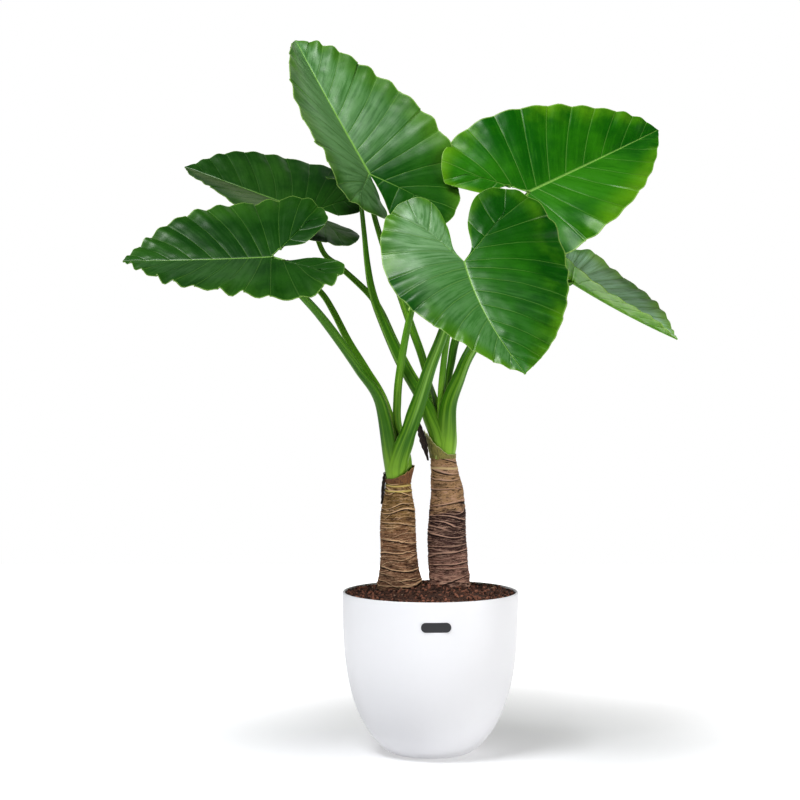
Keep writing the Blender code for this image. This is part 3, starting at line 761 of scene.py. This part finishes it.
def make_pot(finish):
    rim = POT_HEIGHT - WALL / 2
    bevel = 0.0015
    outer = [(pot_radius(z), z) for z in rising(56, bevel, rim)]
    middle = POT_RADIUS - WALL / 2
    lip = [
        (middle + WALL / 2 * math.cos(t), rim + WALL / 2 * math.sin(t))
        for t in np.linspace(0, math.pi, 9)[1:-1]
    ]
    inner = [(pot_radius(z) - WALL, z) for z in rising(40, FLOOR, rim)[::-1]]
    foot = [(0.0, 0.0), (0.03, 0.0), (FOOT_RADIUS - bevel, 0.0)]
    profile = foot + outer + lip + inner + [(0.03, FLOOR), (0.0, FLOOR)]
    pot = new_piece("planter", *turned(profile, POT_SIDES))
    tidy_mesh(pot)
    cutters = []
    for i in range(DRAINS):
        angle = 2 * math.pi * (i + 0.5) / DRAINS
        place = np.array([DRAIN_CIRCLE * math.cos(angle), DRAIN_CIRCLE * math.sin(angle), 0])
        post = [(0, -0.01), (DRAIN_RADIUS, -0.01), (DRAIN_RADIUS, 0.02), (0, 0.02)]
        points, faces = turned(post, 24)
        cutter = new_piece(f"drain_{i}", points + place, faces)
        tidy_mesh(cutter)
        made = pot.modifiers.new("Drain", "BOOLEAN")
        made.operation, made.solver, made.object = "DIFFERENCE", "EXACT", cutter
        cutters.append(cutter)
    settle(pot)
    for cutter in cutters:
        bpy.data.objects.remove(cutter, do_unlink=True)
    pot.data.shade_smooth()
    pot.data.set_sharp_from_angle(angle=math.radians(40))
    stand_for(pot, "pot", "pot_white", finish)


def make_badge(finish):
    """A blank pill-shaped plate with rounded edges, bent round the planter's wall."""
    half_w, half_h = BADGE_WIDTH / 2, BADGE_HEIGHT / 2
    round_off = BADGE_THICKNESS * 0.6
    steps = [(0.0, 0.0), (0.0, BADGE_THICKNESS - round_off)]
    for t in np.linspace(0, math.pi / 2, 5)[1:]:
        lift = BADGE_THICKNESS - round_off * (1 - math.sin(t))
        steps.append((round_off * (1 - math.cos(t)), lift))
    steps += [(half_h * share, BADGE_THICKNESS) for share in (0.3, 0.5, 0.7, 0.85, 0.97)]
    steps = [(half_h * share, 0.0) for share in (0.97, 0.5)] + steps
    turn = np.linspace(0, 2 * math.pi, 64, endpoint=False)
    rings = []
    for inset, lift in steps:
        x = BADGE_X + np.sign(np.cos(turn)) * (half_w - half_h) + (half_h - inset) * np.cos(turn)
        z = BADGE_Z + (half_h - inset) * np.sin(turn)
        wall = pot_radius(z) + GAP + lift
        rings.append(np.stack([x, -np.sqrt(wall**2 - x**2), z], axis=1))
    rings = np.stack(rings, axis=1)
    badge = new_piece("name_plate", rings, tube_faces(len(turn), rings.shape[1]))
    tidy_mesh(badge)
    stand_for(badge, "badge", "badge_black", finish)


def soil_height(radius):
    """Top of the soil: a low mound round the two trunks."""
    share = np.asarray(radius) / POT_RADIUS
    return POT_HEIGHT - SOIL_EDGE_DROP + SOIL_MOUND * (1 - np.minimum(share / 0.93, 1.0) ** 2) ** 1.5


def crumb_shape():
    """A rough ball of 80 faces, to be scattered at many sizes."""
    bm = bmesh.new()
    bmesh.ops.create_icosphere(bm, subdivisions=2, radius=1.0)
    points = np.array([v.co for v in bm.verts])
    faces = np.array([[v.index for v in f.verts] for f in bm.faces])
    bm.free()
    return points, faces


def make_soil(finish):
    random = np.random.default_rng(4)
    edge_z = POT_HEIGHT - SOIL_EDGE_DROP
    wall = [(pot_radius(z) - WALL - 2 * GAP, z) for z in rising(8, FLOOR + GAP, edge_z)]
    edge = wall[-1][0]
    top = [(r, soil_height(r)) for r in edge * (1 - np.arange(1, SOIL_RINGS) / SOIL_RINGS)]
    profile = [(0.0, FLOOR + GAP)] + wall + top + [(0.0, soil_height(0.0))]
    ground, faces = turned(profile, SOIL_SIDES)
    start = len(wall) + 1
    surface = ground[:, start:]
    lumps = 0.0016 * grain(surface, 90.0) + 0.0011 * grain(surface, 240.0, 2.0)
    fade = np.linspace(0.4, 1.0, surface.shape[1])
    surface[..., 2] += lumps * fade
    shade = np.full(ground.shape[:2], 0.2)
    shade[:, start:] = 0.25 + 0.25 * grain(surface, 160.0, 3.0)
    points, shades = [ground.reshape(-1, 3)], [shade.ravel()]
    ball, ball_faces = crumb_shape()
    count = SOIL_SIDES * len(profile)
    for _ in range(CRUMBS):
        radius = (edge - 0.003) * math.sqrt(random.random())
        angle = random.random() * 2 * math.pi
        size = CRUMB_LEAST + CRUMB_SPREAD * random.random() ** 2
        squash = random.uniform(0.6, 1.2, 3) * size
        turn = random.uniform(0, math.pi)
        rough = 1 + 0.22 * random.standard_normal(len(ball))
        crumb = ball * rough[:, None] * squash
        cosine, sine = math.cos(turn), math.sin(turn)
        crumb = crumb @ np.array([[cosine, sine, 0], [-sine, cosine, 0], [0, 0, 1]])
        place = (radius * math.cos(angle), radius * math.sin(angle), soil_height(radius) + size * 0.35)
        points.append(crumb + place)
        shades.append(np.full(len(ball), random.random()))
        faces += (ball_faces + count).tolist()
        count += len(ball)
    values = {"shade": np.clip(np.concatenate(shades), 0, 1)}
    soil = new_piece("potting_soil", np.concatenate(points), faces, values)
    tidy_mesh(soil, merge=0.000001)
    stand_for(soil, "soil", "soil", finish)


# Trunks

def uneven_rings(places, spacing, wander, seed):
    """How far each place is from the nearest of many wandering rings, from -0.5 to
    0.5 of their spacing, and how strongly marked the ring is there."""
    heights = places * (0, 0, 1)
    phase = places[..., 2] / spacing + 0.8 * grain(heights, 0.35 / spacing, seed)
    phase += wander / spacing * grain(places * (20, 20, 16), 1.0, seed + 1)
    phase += SLANT * grain(heights, 32.0, seed + 6) * places[..., 0] / spacing
    nearest = np.round(phase)
    strength = 0.65 + 0.55 * np.sin(nearest * 2.4 + seed) + 0.9 * grain(places * (26, 26, 60), 1.0, seed + 2)
    return phase - nearest, np.clip(strength, 0.0, 1.4)


def wrinkled(places, upper, seed):
    """How much of a ridge and of a crease each place is, which the bark paints as pale
    colour with painted highlight and as painted shade, and its relief. The two finer sizes
    of ring fade out by as much as upper says."""
    ridge, crease_shade, relief = 0.0, 0.0, 0.0
    for i, (spacing, depth, wander) in enumerate(WRINKLES):
        off, strength = uneven_rings(places, spacing, wander, seed + 7 * i)
        strength = strength * (1 - (upper if i else 0.0))
        ridge += RIDGE_SHARE[i] * strength * line_where(off, 0.13, 0.10)
        crease_shade += RIDGE_SHARE[i] * strength * line_where(off, -0.06, 0.09)
        relief = relief + depth * strength * (np.cos(2 * math.pi * off) - 1.6 * line_where(off, -0.06, 0.11))
    return ridge, crease_shade, relief


def make_trunk(key, finish):
    """A stem wrinkled all the way round by the scars of old leaves."""
    style = TRUNK_STYLES[key]
    seed = style["seed"]
    turn = round_angles(TRUNK_SIDES)
    share = np.linspace(-TRUNK_BELOW, 1.0, TRUNK_RINGS)
    centre = through(LINES[key], share)
    centre[:, 2] += np.minimum(share, 0) * TRUNK_SINK / TRUNK_BELOW
    across = outward_at(turn)
    height = centre[:, 2] - LINES[key][0][2]
    radius = along(RADII[key], share)
    places = on_drum(across, height[None, :])
    upper = style["plates"] * smooth(0.52, 0.64, share)[None, :]
    above = np.maximum(height, 0)
    low = line_where(above, 0.0, 0.022)[None, :]
    ridge, crease_shade, relief = wrinkled(places, upper, seed)
    lumps = 0.0015 * grain(places, 34.0, seed + 4) + 0.0004 * grain(places * (60, 60, 500), 1.0, seed + 3)
    flakes = low * style["flaky"] * FLAKE_DEPTH * grain(places * (1, 1, 0.8), 150.0, seed + 5)
    relief = relief + lumps + flakes
    band = np.zeros(ridge.shape)
    for place, rise in style["bands"]:
        swell = line_where(share[None, :] + 6.0 * lumps, place, BAND_WIDTH)
        relief += rise * swell
        band += swell
    foot = 0.0030 * line_where(above, 0.0, 0.016)
    reach = radius[None, :] + relief - 0.0002 + foot[None, :]
    points = centre[None] + across[:, None] * reach[..., None]
    rows = TRUNK_RINGS + 2
    bottom = centre[0][None, None].repeat(TRUNK_SIDES, 0)
    top = centre[-1][None, None].repeat(TRUNK_SIDES, 0)
    points = np.concatenate([bottom, points, top], axis=1)
    # Depth marks the creases for painted shade and ridge the crests for their pale colour and painted
    # highlight.
    fields = {
        "height": np.broadcast_to(share, reach.shape),
        "depth": np.clip(crease_shade * (1 - 0.8 * band), 0, 1),
        "ridge": np.clip(ridge + 0.9 * low * style["flaky"] * smooth(0.05, 0.4, flakes / FLAKE_DEPTH), 0, 1),
        "band": np.clip(band, 0, 1),
    }
    values = {name: np.pad(field, ((0, 0), (1, 1)), mode="edge") for name, field in fields.items()}
    trunk = new_piece(f"stem_{key}", points, grid_faces(TRUNK_SIDES, rows, around=True), values)
    tidy_mesh(trunk)
    stand_for(trunk, f"trunk_{key}", "bark", finish)


def make_collar(key, finish):
    """The torn foot of an older sheath, wrapped round the top of a stem."""
    columns, rows = 160, 22
    turns, rises = zip(*COLLARS[key]["rises"])
    degrees = np.linspace(turns[0], turns[-1], columns)
    across = outward_at(np.radians(degrees))
    ragged = 1 + 0.16 * grain(across * DRUM, 420.0, COLLARS[key]["seed"])
    ragged += 0.10 * grain(across * DRUM, 130.0, 2.0)
    rise = np.interp(degrees, turns, rises) * ragged
    share = np.linspace(0, 1, rows)[None, :]
    height = -COLLAR_OVERLAP + (rise[:, None] + COLLAR_OVERLAP) * share
    places = on_drum(across, height)
    reach = COLLAR_RADIUS + COLLAR_FLARE * np.maximum(height, 0)
    reach = reach + 0.0004 * grain(places * (1, 1, 0.5), 260.0, 3.0)
    points = np.array(LINES[key][-1]) + across[:, None] * reach[..., None]
    points[..., 2] += height
    values = {"height": np.broadcast_to(share, height.shape), "edge": smooth(0.93, 0.98, share + 0 * height)}
    collar = new_piece(f"collar_{key}", points, grid_faces(columns, rows), values)
    thicken(collar, COLLAR_THICKNESS)
    settle(collar)
    collar.data.materials.append(finish)
    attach(collar, "root")


# Stalks and rolled leaves

def leaf_axes(leaf):
    """Unit axes of a blade: towards the tip, towards side 0, and up."""
    turn, rise, roll = (math.radians(leaf[k]) for k in ("heading", "pitch", "roll"))
    tipward = np.array([math.cos(turn) * math.cos(rise), math.sin(turn) * math.cos(rise), math.sin(rise)])
    level_up = np.array([-math.cos(turn) * math.sin(rise), -math.sin(turn) * math.sin(rise), math.cos(rise)])
    level_side = np.cross(level_up, tipward)
    up = level_up * math.cos(roll) + level_side * math.sin(roll)
    sideways = level_side * math.cos(roll) - level_up * math.sin(roll)
    return tipward, sideways, up


def stalk_path(stalk):
    """Out of the trunk's top in its own corner, then through the guide points."""
    top = np.array(LINES[stalk["trunk"]][-1])
    turn = math.radians(stalk["corner"])
    outward = np.array([math.cos(turn), math.sin(turn), 0.0])
    start = top + outward * stalk["spread"] - (0, 0, STALK_SINK)
    neck = top + outward * stalk["spread"] * NECK_SPREAD + (0, 0, NECK_RISE)
    path = [start, neck] + [np.array(g) for g in stalk["guides"]]
    if stalk["carries"] in LEAVES:
        leaf = LEAVES[stalk["carries"]]
        tipward, _, up = leaf_axes(leaf)
        path.append(np.array(leaf["joint"]) - up * BELOW_BLADE)
    return path, outward


def ringed_piece(title, points, fields, uv):
    """A closed tube from rings of points, with named values and a UV map."""
    rings, sides = points.shape[:2]
    points, uv = points.transpose(1, 0, 2), uv.transpose(1, 0, 2)
    values = {key: field.T for key, field in fields.items()}
    piece = new_piece(title, points, tube_faces(sides, rings), values, uv)
    tidy_mesh(piece)
    return piece


def stalk_sections(stalk, both, inner, share):
    """Places across each ring, to the side and to the back: a sheath that closes to a
    channelled round. Also how much of the sheath is left. Both counts from one margin
    to the other, outside and then inside, and share up the stalk."""
    radius = along(stalk["radii"], share)
    end, reach = stalk["sheath"]
    shell = 1 - smooth(0.35 * end, end, share)
    wide = SHEATH_RADIUS * np.clip(1 - share / end, 0, 1) ** SHEATH_NARROWING
    bend = np.maximum(wide, radius)
    middle = np.minimum(1.5 * radius, 0.7 * bend)
    thick = SHEATH_EDGE + (middle - SHEATH_EDGE)[:, None] * np.cos(both * math.pi / 2) ** 2
    arc = bend[:, None] - np.where(inner, thick, 0.0)
    angle = both * math.radians(reach)
    sheath_x = np.sin(angle) * arc
    sheath_y = np.cos(angle) * arc - (bend - radius)[:, None]
    sheath_x = sheath_x * (1 + 0.05 * np.abs(both) ** 6 * np.sin(share * 46)[:, None])
    half = both * math.pi / 2
    channel = 1 - 0.55 * line_where(both, 0.0, 0.42)
    round_x = np.sin(half) * radius[:, None]
    round_y = np.cos(half) * radius[:, None] * np.where(inner, -channel, 1.0)
    mix = shell[:, None]
    return sheath_x * mix + round_x * (1 - mix), sheath_y * mix + round_y * (1 - mix), mix


def make_stalk(name, stalk, finish):
    """A stalk that opens into a sheath at its foot and is channelled above it."""
    path, outward = stalk_path(stalk)
    share = np.linspace(0, 1, STALK_RINGS)
    centre = through(path, even_shares(path, STALK_RINGS))
    heading = unit(np.gradient(centre, axis=0))
    heading[0] = (0, 0, 1)
    back = unit(outward - heading * (heading @ outward)[:, None])
    side = np.cross(heading, back)
    outer, inward = np.linspace(-1, 1, SHEATH_POINTS), np.linspace(0.92, -0.92, SHEATH_POINTS)
    both = np.concatenate([outer, inward])
    inner = np.arange(len(both)) >= SHEATH_POINTS
    x, y, mix = stalk_sections(stalk, both, inner, share)
    points = centre[:, None] + side[:, None] * x[..., None] + back[:, None] * y[..., None]
    if stalk["carries"] in LEAVES:
        points[-1] = centre[-1] + (points[-1] - centre[-1]) * 0.7
    edge = np.broadcast_to(np.abs(both) ** 14, x.shape) * mix
    rise = np.broadcast_to(share[:, None], x.shape)
    uv = np.stack([np.broadcast_to(both * 0.5, x.shape), rise], axis=2)
    stripe = line_where(both, 0.0, STRIPE_WIDTH) * (~inner) * smooth(0.1, 0.4, share)[:, None]
    fields = {"edge": edge, "height": rise, "stripe": stripe}
    piece = ringed_piece(name.replace("stalk", "petiole"), points, fields, uv)
    stand_for(piece, name, "stalk", finish)


def make_spear(name, stalk, finish):
    """A young leaf still rolled up, its outer margin winding round it."""
    path, _ = stalk_path(stalk)
    radius = 1.15 * stalk["radii"][-1]
    ahead = unit(path[-1] - path[-2])
    line = [path[-1] - ahead * 0.004] + [np.array(g) for g in SPEARS[name]]
    rings, sides = 60, 40
    share = np.linspace(0, 1, rings)
    centre = through(line, even_shares(line, rings))
    heading = unit(np.gradient(centre, axis=0))
    across = unit(np.cross((0, 1, 0), heading))
    other = np.cross(heading, across)
    turn = round_angles(sides)
    size = along([0.8 * radius, radius, 0.95 * radius, 0.7 * radius, 0.12 * radius], share)
    wound = np.mod(turn[None, :] - 3.2 * share[:, None] - 4.2, 2 * math.pi) / (2 * math.pi)
    reach = size[:, None] * (0.90 + 0.16 * wound)
    points = centre[:, None] + across[:, None] * (np.cos(turn) * reach)[..., None]
    points += other[:, None] * (np.sin(turn) * reach)[..., None]
    edge = line_where(wound, 0.97, 0.035)
    rise = np.broadcast_to(share[:, None] * 0.5 + 0.4, edge.shape)
    uv = np.stack([wound, np.broadcast_to(share[:, None], edge.shape)], axis=2)
    fields = {"edge": edge, "height": rise, "stripe": 0 * edge}
    piece = ringed_piece(f"rolled_{name}", points, fields, uv)
    stand_for(piece, name, "young_blade", finish)


def make_dry_sheath(name, strip, finish):
    """The brown remnant of an old sheath: a thin curled strip with a ragged end."""
    columns, rows = 19, 46
    out = np.linspace(-1, 1, columns)[:, None]
    share = np.linspace(0, 1, rows)[None, :]
    tear = np.abs(grain(out * (2.6, 0.0, 0.0), 1.0, 2.0))[:, None]
    at = share * (1 - 0.16 * tear)
    centre = through(strip["guides"], at)
    half = strip["half_width"] * (0.35 + 0.65 * np.sin(math.pi * (0.12 + 0.8 * at)))
    half = half * (0.25 + 0.5 * smooth(0.0, 0.45, at))
    across = unit(np.array(strip["across"], float))
    outward = np.array([-across[1], across[0], 0.0])
    width = half * out * (1 + 0.10 * np.sin(at * 40 + out * 5))
    curl = strip["half_width"] * 0.16 * (1 - 2 * out**2) + 0.0004 * np.sin(at * 33 + out * 9)
    points = centre + across * width[..., None] + outward * curl[..., None]
    piece = new_piece(f"husk_{name}", points, grid_faces(columns, rows))
    tidy_mesh(piece)
    thicken(piece, DRY_THICKNESS)
    settle(piece)
    stand_for(piece, name, "dry_sheath", finish)


# Blades

def half_columns():
    """Stations of one half's columns, each one's share of the way from one vein to
    the next, and the stations of those two veins."""
    marks = [k / FRONT_VEINS for k in range(FRONT_VEINS)]
    marks += [1 + k / LOBE_VEINS for k in range(2 * LOBE_VEINS + 1)]
    rows = [
        (low + (high - low) * share, share, low, high)
        for low, high in zip(marks, marks[1:])
        for share in BETWEEN_VEINS
    ]
    rows.append((marks[-1], 1.0, marks[-2], marks[-1]))
    return np.array(rows).T


def rib_and_margin(leaf, side, station):
    """Flat ends of the veins: on the midrib or the lobe's rib, and on the margin."""
    length, width, lobe = leaf["length"], leaf["width"][side], leaf["lobe"][side]
    outline = [(u * length, v * width) for u, v in FRONT_OUTLINE]
    outline += [(-u * lobe, v * width) for u, v in LOBE_OUTLINE]
    outline += [(-u * lobe, v * width * leaf["notch"]) for u, v in NOTCH_OUTLINE]
    ends = np.cumsum([0, len(FRONT_OUTLINE) - 1, len(LOBE_OUTLINE), len(NOTCH_OUTLINE)])
    margin = through(outline, np.interp(station, range(4), ends) / ends[-1])
    back, out = LOBE_RIB
    lobe_rib = np.array([-back * lobe, out * width])
    share = np.minimum(station - 1, 3 - station)[:, None]
    ahead = length * np.clip(1 - station, 0, 1) ** RIB_CROWDING
    midrib = np.stack([ahead, 0 * ahead], axis=1)
    rib = np.where(station[:, None] < 1, midrib, lobe_rib * share)
    return rib, margin, lobe_rib


def to_segment(flat, end):
    """Distance from the straight rib between the joint and end, and the share along it."""
    share = np.clip(flat @ end / (end @ end), 0.0, 1.0)
    return np.linalg.norm(flat - share[..., None] * end, axis=-1), share


def half_blade(leaf, side, seed):
    """Points and surface values of one half of a blade, column by column."""
    station, share, low, high = half_columns()
    out = 0.5 - 0.5 * np.cos(math.pi * np.arange(BLADE_ROWS + 1) / BLADE_ROWS)
    size = leaf["length"] / 0.27
    rib, margin, lobe_rib = rib_and_margin(leaf, side, station)
    length = np.linalg.norm(margin - rib, axis=1)
    taper = np.clip(length / 0.05, 0, 1)[:, None]
    wave = leaf["waves"][side] * (1 - 0.85 * smooth(1.6, 2.2, station))[:, None]
    swell = (0.5 - 0.5 * np.cos(2 * math.pi * share))[:, None]

    flat = rib[:, None] + (margin - rib)[:, None] * out[None, :, None]
    ends = [rib_and_margin(leaf, side, marks)[:2] for marks in (low, high)]
    rows = [a[:, None] + (b - a)[:, None] * out[None, :, None] for a, b in ends]
    spacing = np.linalg.norm(rows[1] - rows[0], axis=2)
    near = np.minimum(share, 1 - share)[:, None] * spacing

    forward = np.where(station[:, None] < 1, (1.0, 0.0), unit(lobe_rib))
    bow = VEIN_BOW * length * smooth(0.0, 0.3, np.abs(station - 1)) * smooth(0.0, 0.4, station)
    flat -= forward[:, None] * (bow[:, None] * 4 * out * (1 - out))[..., None]
    scallop = SCALLOP * np.abs(wave) * size * (swell - 0.5) * taper * out**3
    flat += unit(margin - rib)[:, None] * scallop[..., None]

    mid_distance, mid_share = to_segment(flat, np.array([leaf["length"], 0.0]))
    lobe_distance, lobe_share = to_segment(flat, lobe_rib)
    mid_width = 0.0025 * size * (1 - 0.72 * mid_share)
    lobe_width = 0.0014 * size * (1 - 0.6 * lobe_share)
    mid = line_where(mid_distance, 0.0, mid_width)
    lobe = line_where(lobe_distance, 0.0, lobe_width)
    vein_width = 0.00125 * (1 - 0.45 * out)[None, :]
    vein = line_where(near, 0.0, vein_width) * smooth(0.0, 0.03, out)
    # A broad band along each vein, where painted shade goes.
    vein_groove_shade = line_where(near, 0.0, 0.004)

    full = smooth(0.0, 0.22, out)[None, :]
    lift = QUILT * np.clip(spacing / 0.03, 0.2, 1.3) * swell * full * taper
    beat = 0.9 + 0.6 * np.sin(low * 17.0 + seed + side * 2.0)[:, None]
    lift += MARGIN_WAVE * wave * size * beat * (2 * swell - 1) * smooth(0.5, 1.0, out)[None, :] * taper
    slow = np.sin(station * 7.5 + seed * 1.7 + side * 1.3)[:, None]
    calm = 1 - 0.7 * smooth(1.6, 2.2, station)[:, None]
    lift += SLOW_WAVE * size * slow * smooth(0.35, 1.0, out)[None, :] * taper * calm
    lift -= 0.0006 * vein + 0.0012 * np.maximum(mid, lobe)
    spots = np.concatenate([flat, np.full(flat.shape[:2] + (1,), seed + side)], axis=2)
    lift += RIPPLE * grain(spots, 70.0, seed) * full * taper
    thickness = SHEET + 0.0050 * size * (1 - 0.8 * mid_share) * mid
    thickness += 0.0022 * size * (1 - 0.8 * lobe_share) * lobe + 0.0006 * vein

    # How much painted sheen, or painted shade below 0, lies on this half.
    front, back = leaf["tones"][side]
    sheen_and_shade = (front + (back - front) * smooth(0.7, 1.5, station))[:, None]
    values = {
        "vein": vein, "vein_groove_shade": vein_groove_shade, "rib": np.maximum(mid, lobe * (0.8 - 0.5 * lobe_share)),
        "margin": np.broadcast_to(out, vein.shape), "thick": thickness / THICKEST,
        "sheen_and_shade": sheen_and_shade * (1 - 0.7 * smooth(0.6, 1, out)),
    }
    uv = np.stack(np.broadcast_arrays(
        np.arange(len(station))[:, None] / len(BETWEEN_VEINS) + 20 * side, out[None, :]), axis=2)
    return bent(leaf, side, flat, lift), values, uv


def bent(leaf, side, flat, lift):
    """Takes flat places on half a blade to their places on the bent blade."""
    length, width, lobe = leaf["length"], leaf["width"][side], leaf["lobe"][side]
    u, v = flat[..., 0], flat[..., 1]
    ahead = np.maximum(u / length, 0.0)
    behind = np.maximum(-u / lobe, 0.0)
    out = v / width
    creased = (np.sqrt(v**2 + CREASE**2) - CREASE) / width
    lift = lift + width * (leaf["fold"] * creased - leaf["arch"] * out**2)
    lift = lift - leaf["droop"] * length * ahead**2 - leaf["lobe_droop"] * lobe * behind**2
    across = (1, -1)[side] * v + leaf["sweep"] * length * ahead**2
    tipward, sideways, up = leaf_axes(leaf)
    joint = np.array(leaf["joint"])
    return joint + tipward * u[..., None] + sideways * across[..., None] + up * lift[..., None]


def make_blade(name, leaf, seed, finishes):
    """One blade: both halves joined along the ribs, then thickened downward."""
    points, values, uvs, faces = [], {}, [], []
    count = 0
    for side in (0, 1):
        half, fields, uv = half_blade(leaf, side, seed)
        columns, rows = half.shape[:2]
        made = grid_faces(columns, rows, start=count)
        faces += made if side else [tuple(reversed(f)) for f in made]
        points.append(half.reshape(-1, 3))
        uvs.append(uv.reshape(-1, 2))
        for key, numbers in fields.items():
            values.setdefault(key, []).append(np.asarray(numbers).ravel())
        count += columns * rows
    values = {key: np.concatenate(parts) for key, parts in values.items()}
    points = np.concatenate(points)
    piece = new_piece(name.replace("leaf", "blade"), points, faces, values, np.concatenate(uvs))
    tidy_mesh(piece, outward=False)
    group = piece.vertex_groups.new(name="thick")
    for i, held in enumerate(piece.data.attributes["thick"].data):
        group.add([i], min(held.value, 1.0), "REPLACE")
    for finish in finishes:
        piece.data.materials.append(finish)
    made = thicken(piece, THICKEST, -1.0)
    made.vertex_group = "thick"
    made.material_offset = 1
    settle(piece)
    stand_for(piece, name, "blade", *finishes)


# Stage, light and camera

def plain_floor():
    made, tree, place = new_material("plain_floor")
    shader = tree.nodes["Principled BSDF"]
    clouds = texture(tree, place, 0.7, 2.0)
    feed(tree, shader.inputs["Base Color"], blend(tree, clouds, (0.53, 0.53, 0.54), (0.56, 0.56, 0.57)))
    feed(tree, shader.inputs["Roughness"], between(tree, clouds, 0.3, 0.7, 0.75, 0.85))
    shader.inputs["Emission Color"].default_value = (1.0, 1.0, 1.0, 1.0)
    away = add(tree, "VectorMath", {0: place}, operation="LENGTH").outputs["Value"]
    feed(tree, shader.inputs["Emission Strength"], between(tree, away, 0.2, 1.2, 0.40, 1.10))
    return made


def make_stage():
    ways = ((-1, -1), (1, -1), (1, 1), (-1, 1))
    corners = [(x * STAGE_HALF, y * STAGE_HALF, -STAGE_DROP) for x, y in ways]
    floor = new_piece("floor", corners, [(0, 1, 2, 3)])
    floor.data.materials.append(plain_floor())


def soft_light(name, place, aim, size, watts, colour):
    data = bpy.data.lights.new(name, "AREA")
    data.shape = "DISK"
    data.size = size
    data.energy = watts
    data.color = colour
    light = bpy.data.objects.new(name, data)
    light.location = place
    light.rotation_euler = (Vector(aim) - Vector(place)).to_track_quat("-Z", "Y").to_euler()
    bpy.context.scene.collection.objects.link(light)


def make_light():
    """A white surround, brightest behind to the viewer's right, a large soft light
    above and in front to the viewer's left and a lower one to the right."""
    world = bpy.data.worlds.new("surround")
    bpy.context.scene.world = world
    world.use_nodes = True
    tree = world.node_tree
    surround = tree.nodes["Background"]
    surround.inputs["Color"].default_value = (1.0, 1.0, 1.0, 1.0)
    direction = add(tree, "TexCoord").outputs["Generated"]
    towards = add(tree, "VectorMath", {0: direction, 1: BRIGHT_SIDE}, operation="DOT_PRODUCT")
    glow = between(tree, towards.outputs["Value"], 0.60, 0.92, *SURROUND_GLOW)
    seen = add(tree, "LightPath").outputs["Is Camera Ray"]
    feed(tree, surround.inputs["Strength"], sums(tree, "MAXIMUM", glow, seen))
    soft_light("key", (-1.5, -1.9, 4.4), (0, 0, 0.95), 2.2, 255.0, (0.97, 0.985, 1.0))
    soft_light("side", (3.1, -1.8, 0.9), (0, 0, 0.7), 2.0, 54.0, (1.0, 0.99, 0.97))
    view = bpy.context.scene.view_settings
    view.view_transform = "Standard"
    view.gamma = 0.85


def make_camera():
    data = bpy.data.cameras.new("camera")
    data.sensor_width = SENSOR
    data.lens = CAMERA_LENS
    camera = bpy.data.objects.new("camera", data)
    camera.location = CAMERA_PLACE
    camera.rotation_euler = (math.radians(90 - CAMERA_TILT), 0, 0)
    bpy.context.scene.collection.objects.link(camera)
    bpy.context.scene.camera = camera


def make_planter():
    make_pot(planter_white())
    make_badge(badge_black())
    make_soil(soil_brown())


def make_plant():
    make_trunk("left", bark("bark_brown", BARK_BROWN))
    make_trunk("right", bark("bark_tan", BARK_TAN, (0.52, 0.64)))
    make_collar("left", husk_fibre("collar_orange", *HUSK_ORANGE))
    make_collar("right", husk_fibre("collar_olive", *HUSK_OLIVE))
    green = stalk_green("stalk_green", *STALK_GREENS, 9.0)
    young = stalk_green("stalk_young", *YOUNG_GREENS, 2.6)
    for name, stalk in STALKS.items():
        make_stalk(name, stalk, young if name in SLIM_STALKS else green)
        if stalk["carries"] in SPEARS:
            make_spear(stalk["carries"], stalk, young)
    husk = dry_brown()
    for name, strip in DRY_SHEATHS.items():
        make_dry_sheath(name, strip, husk)
    for seed, (name, leaf) in enumerate(LEAVES.items()):
        top = blade_green(f"{name}_top", leaf)
        under = blade_green(f"{name}_under", leaf, under=True)
        make_blade(name, leaf, seed + 1.0, (top, under))


make_camera()
make_stage()
make_light()
make_planter()
make_plant()
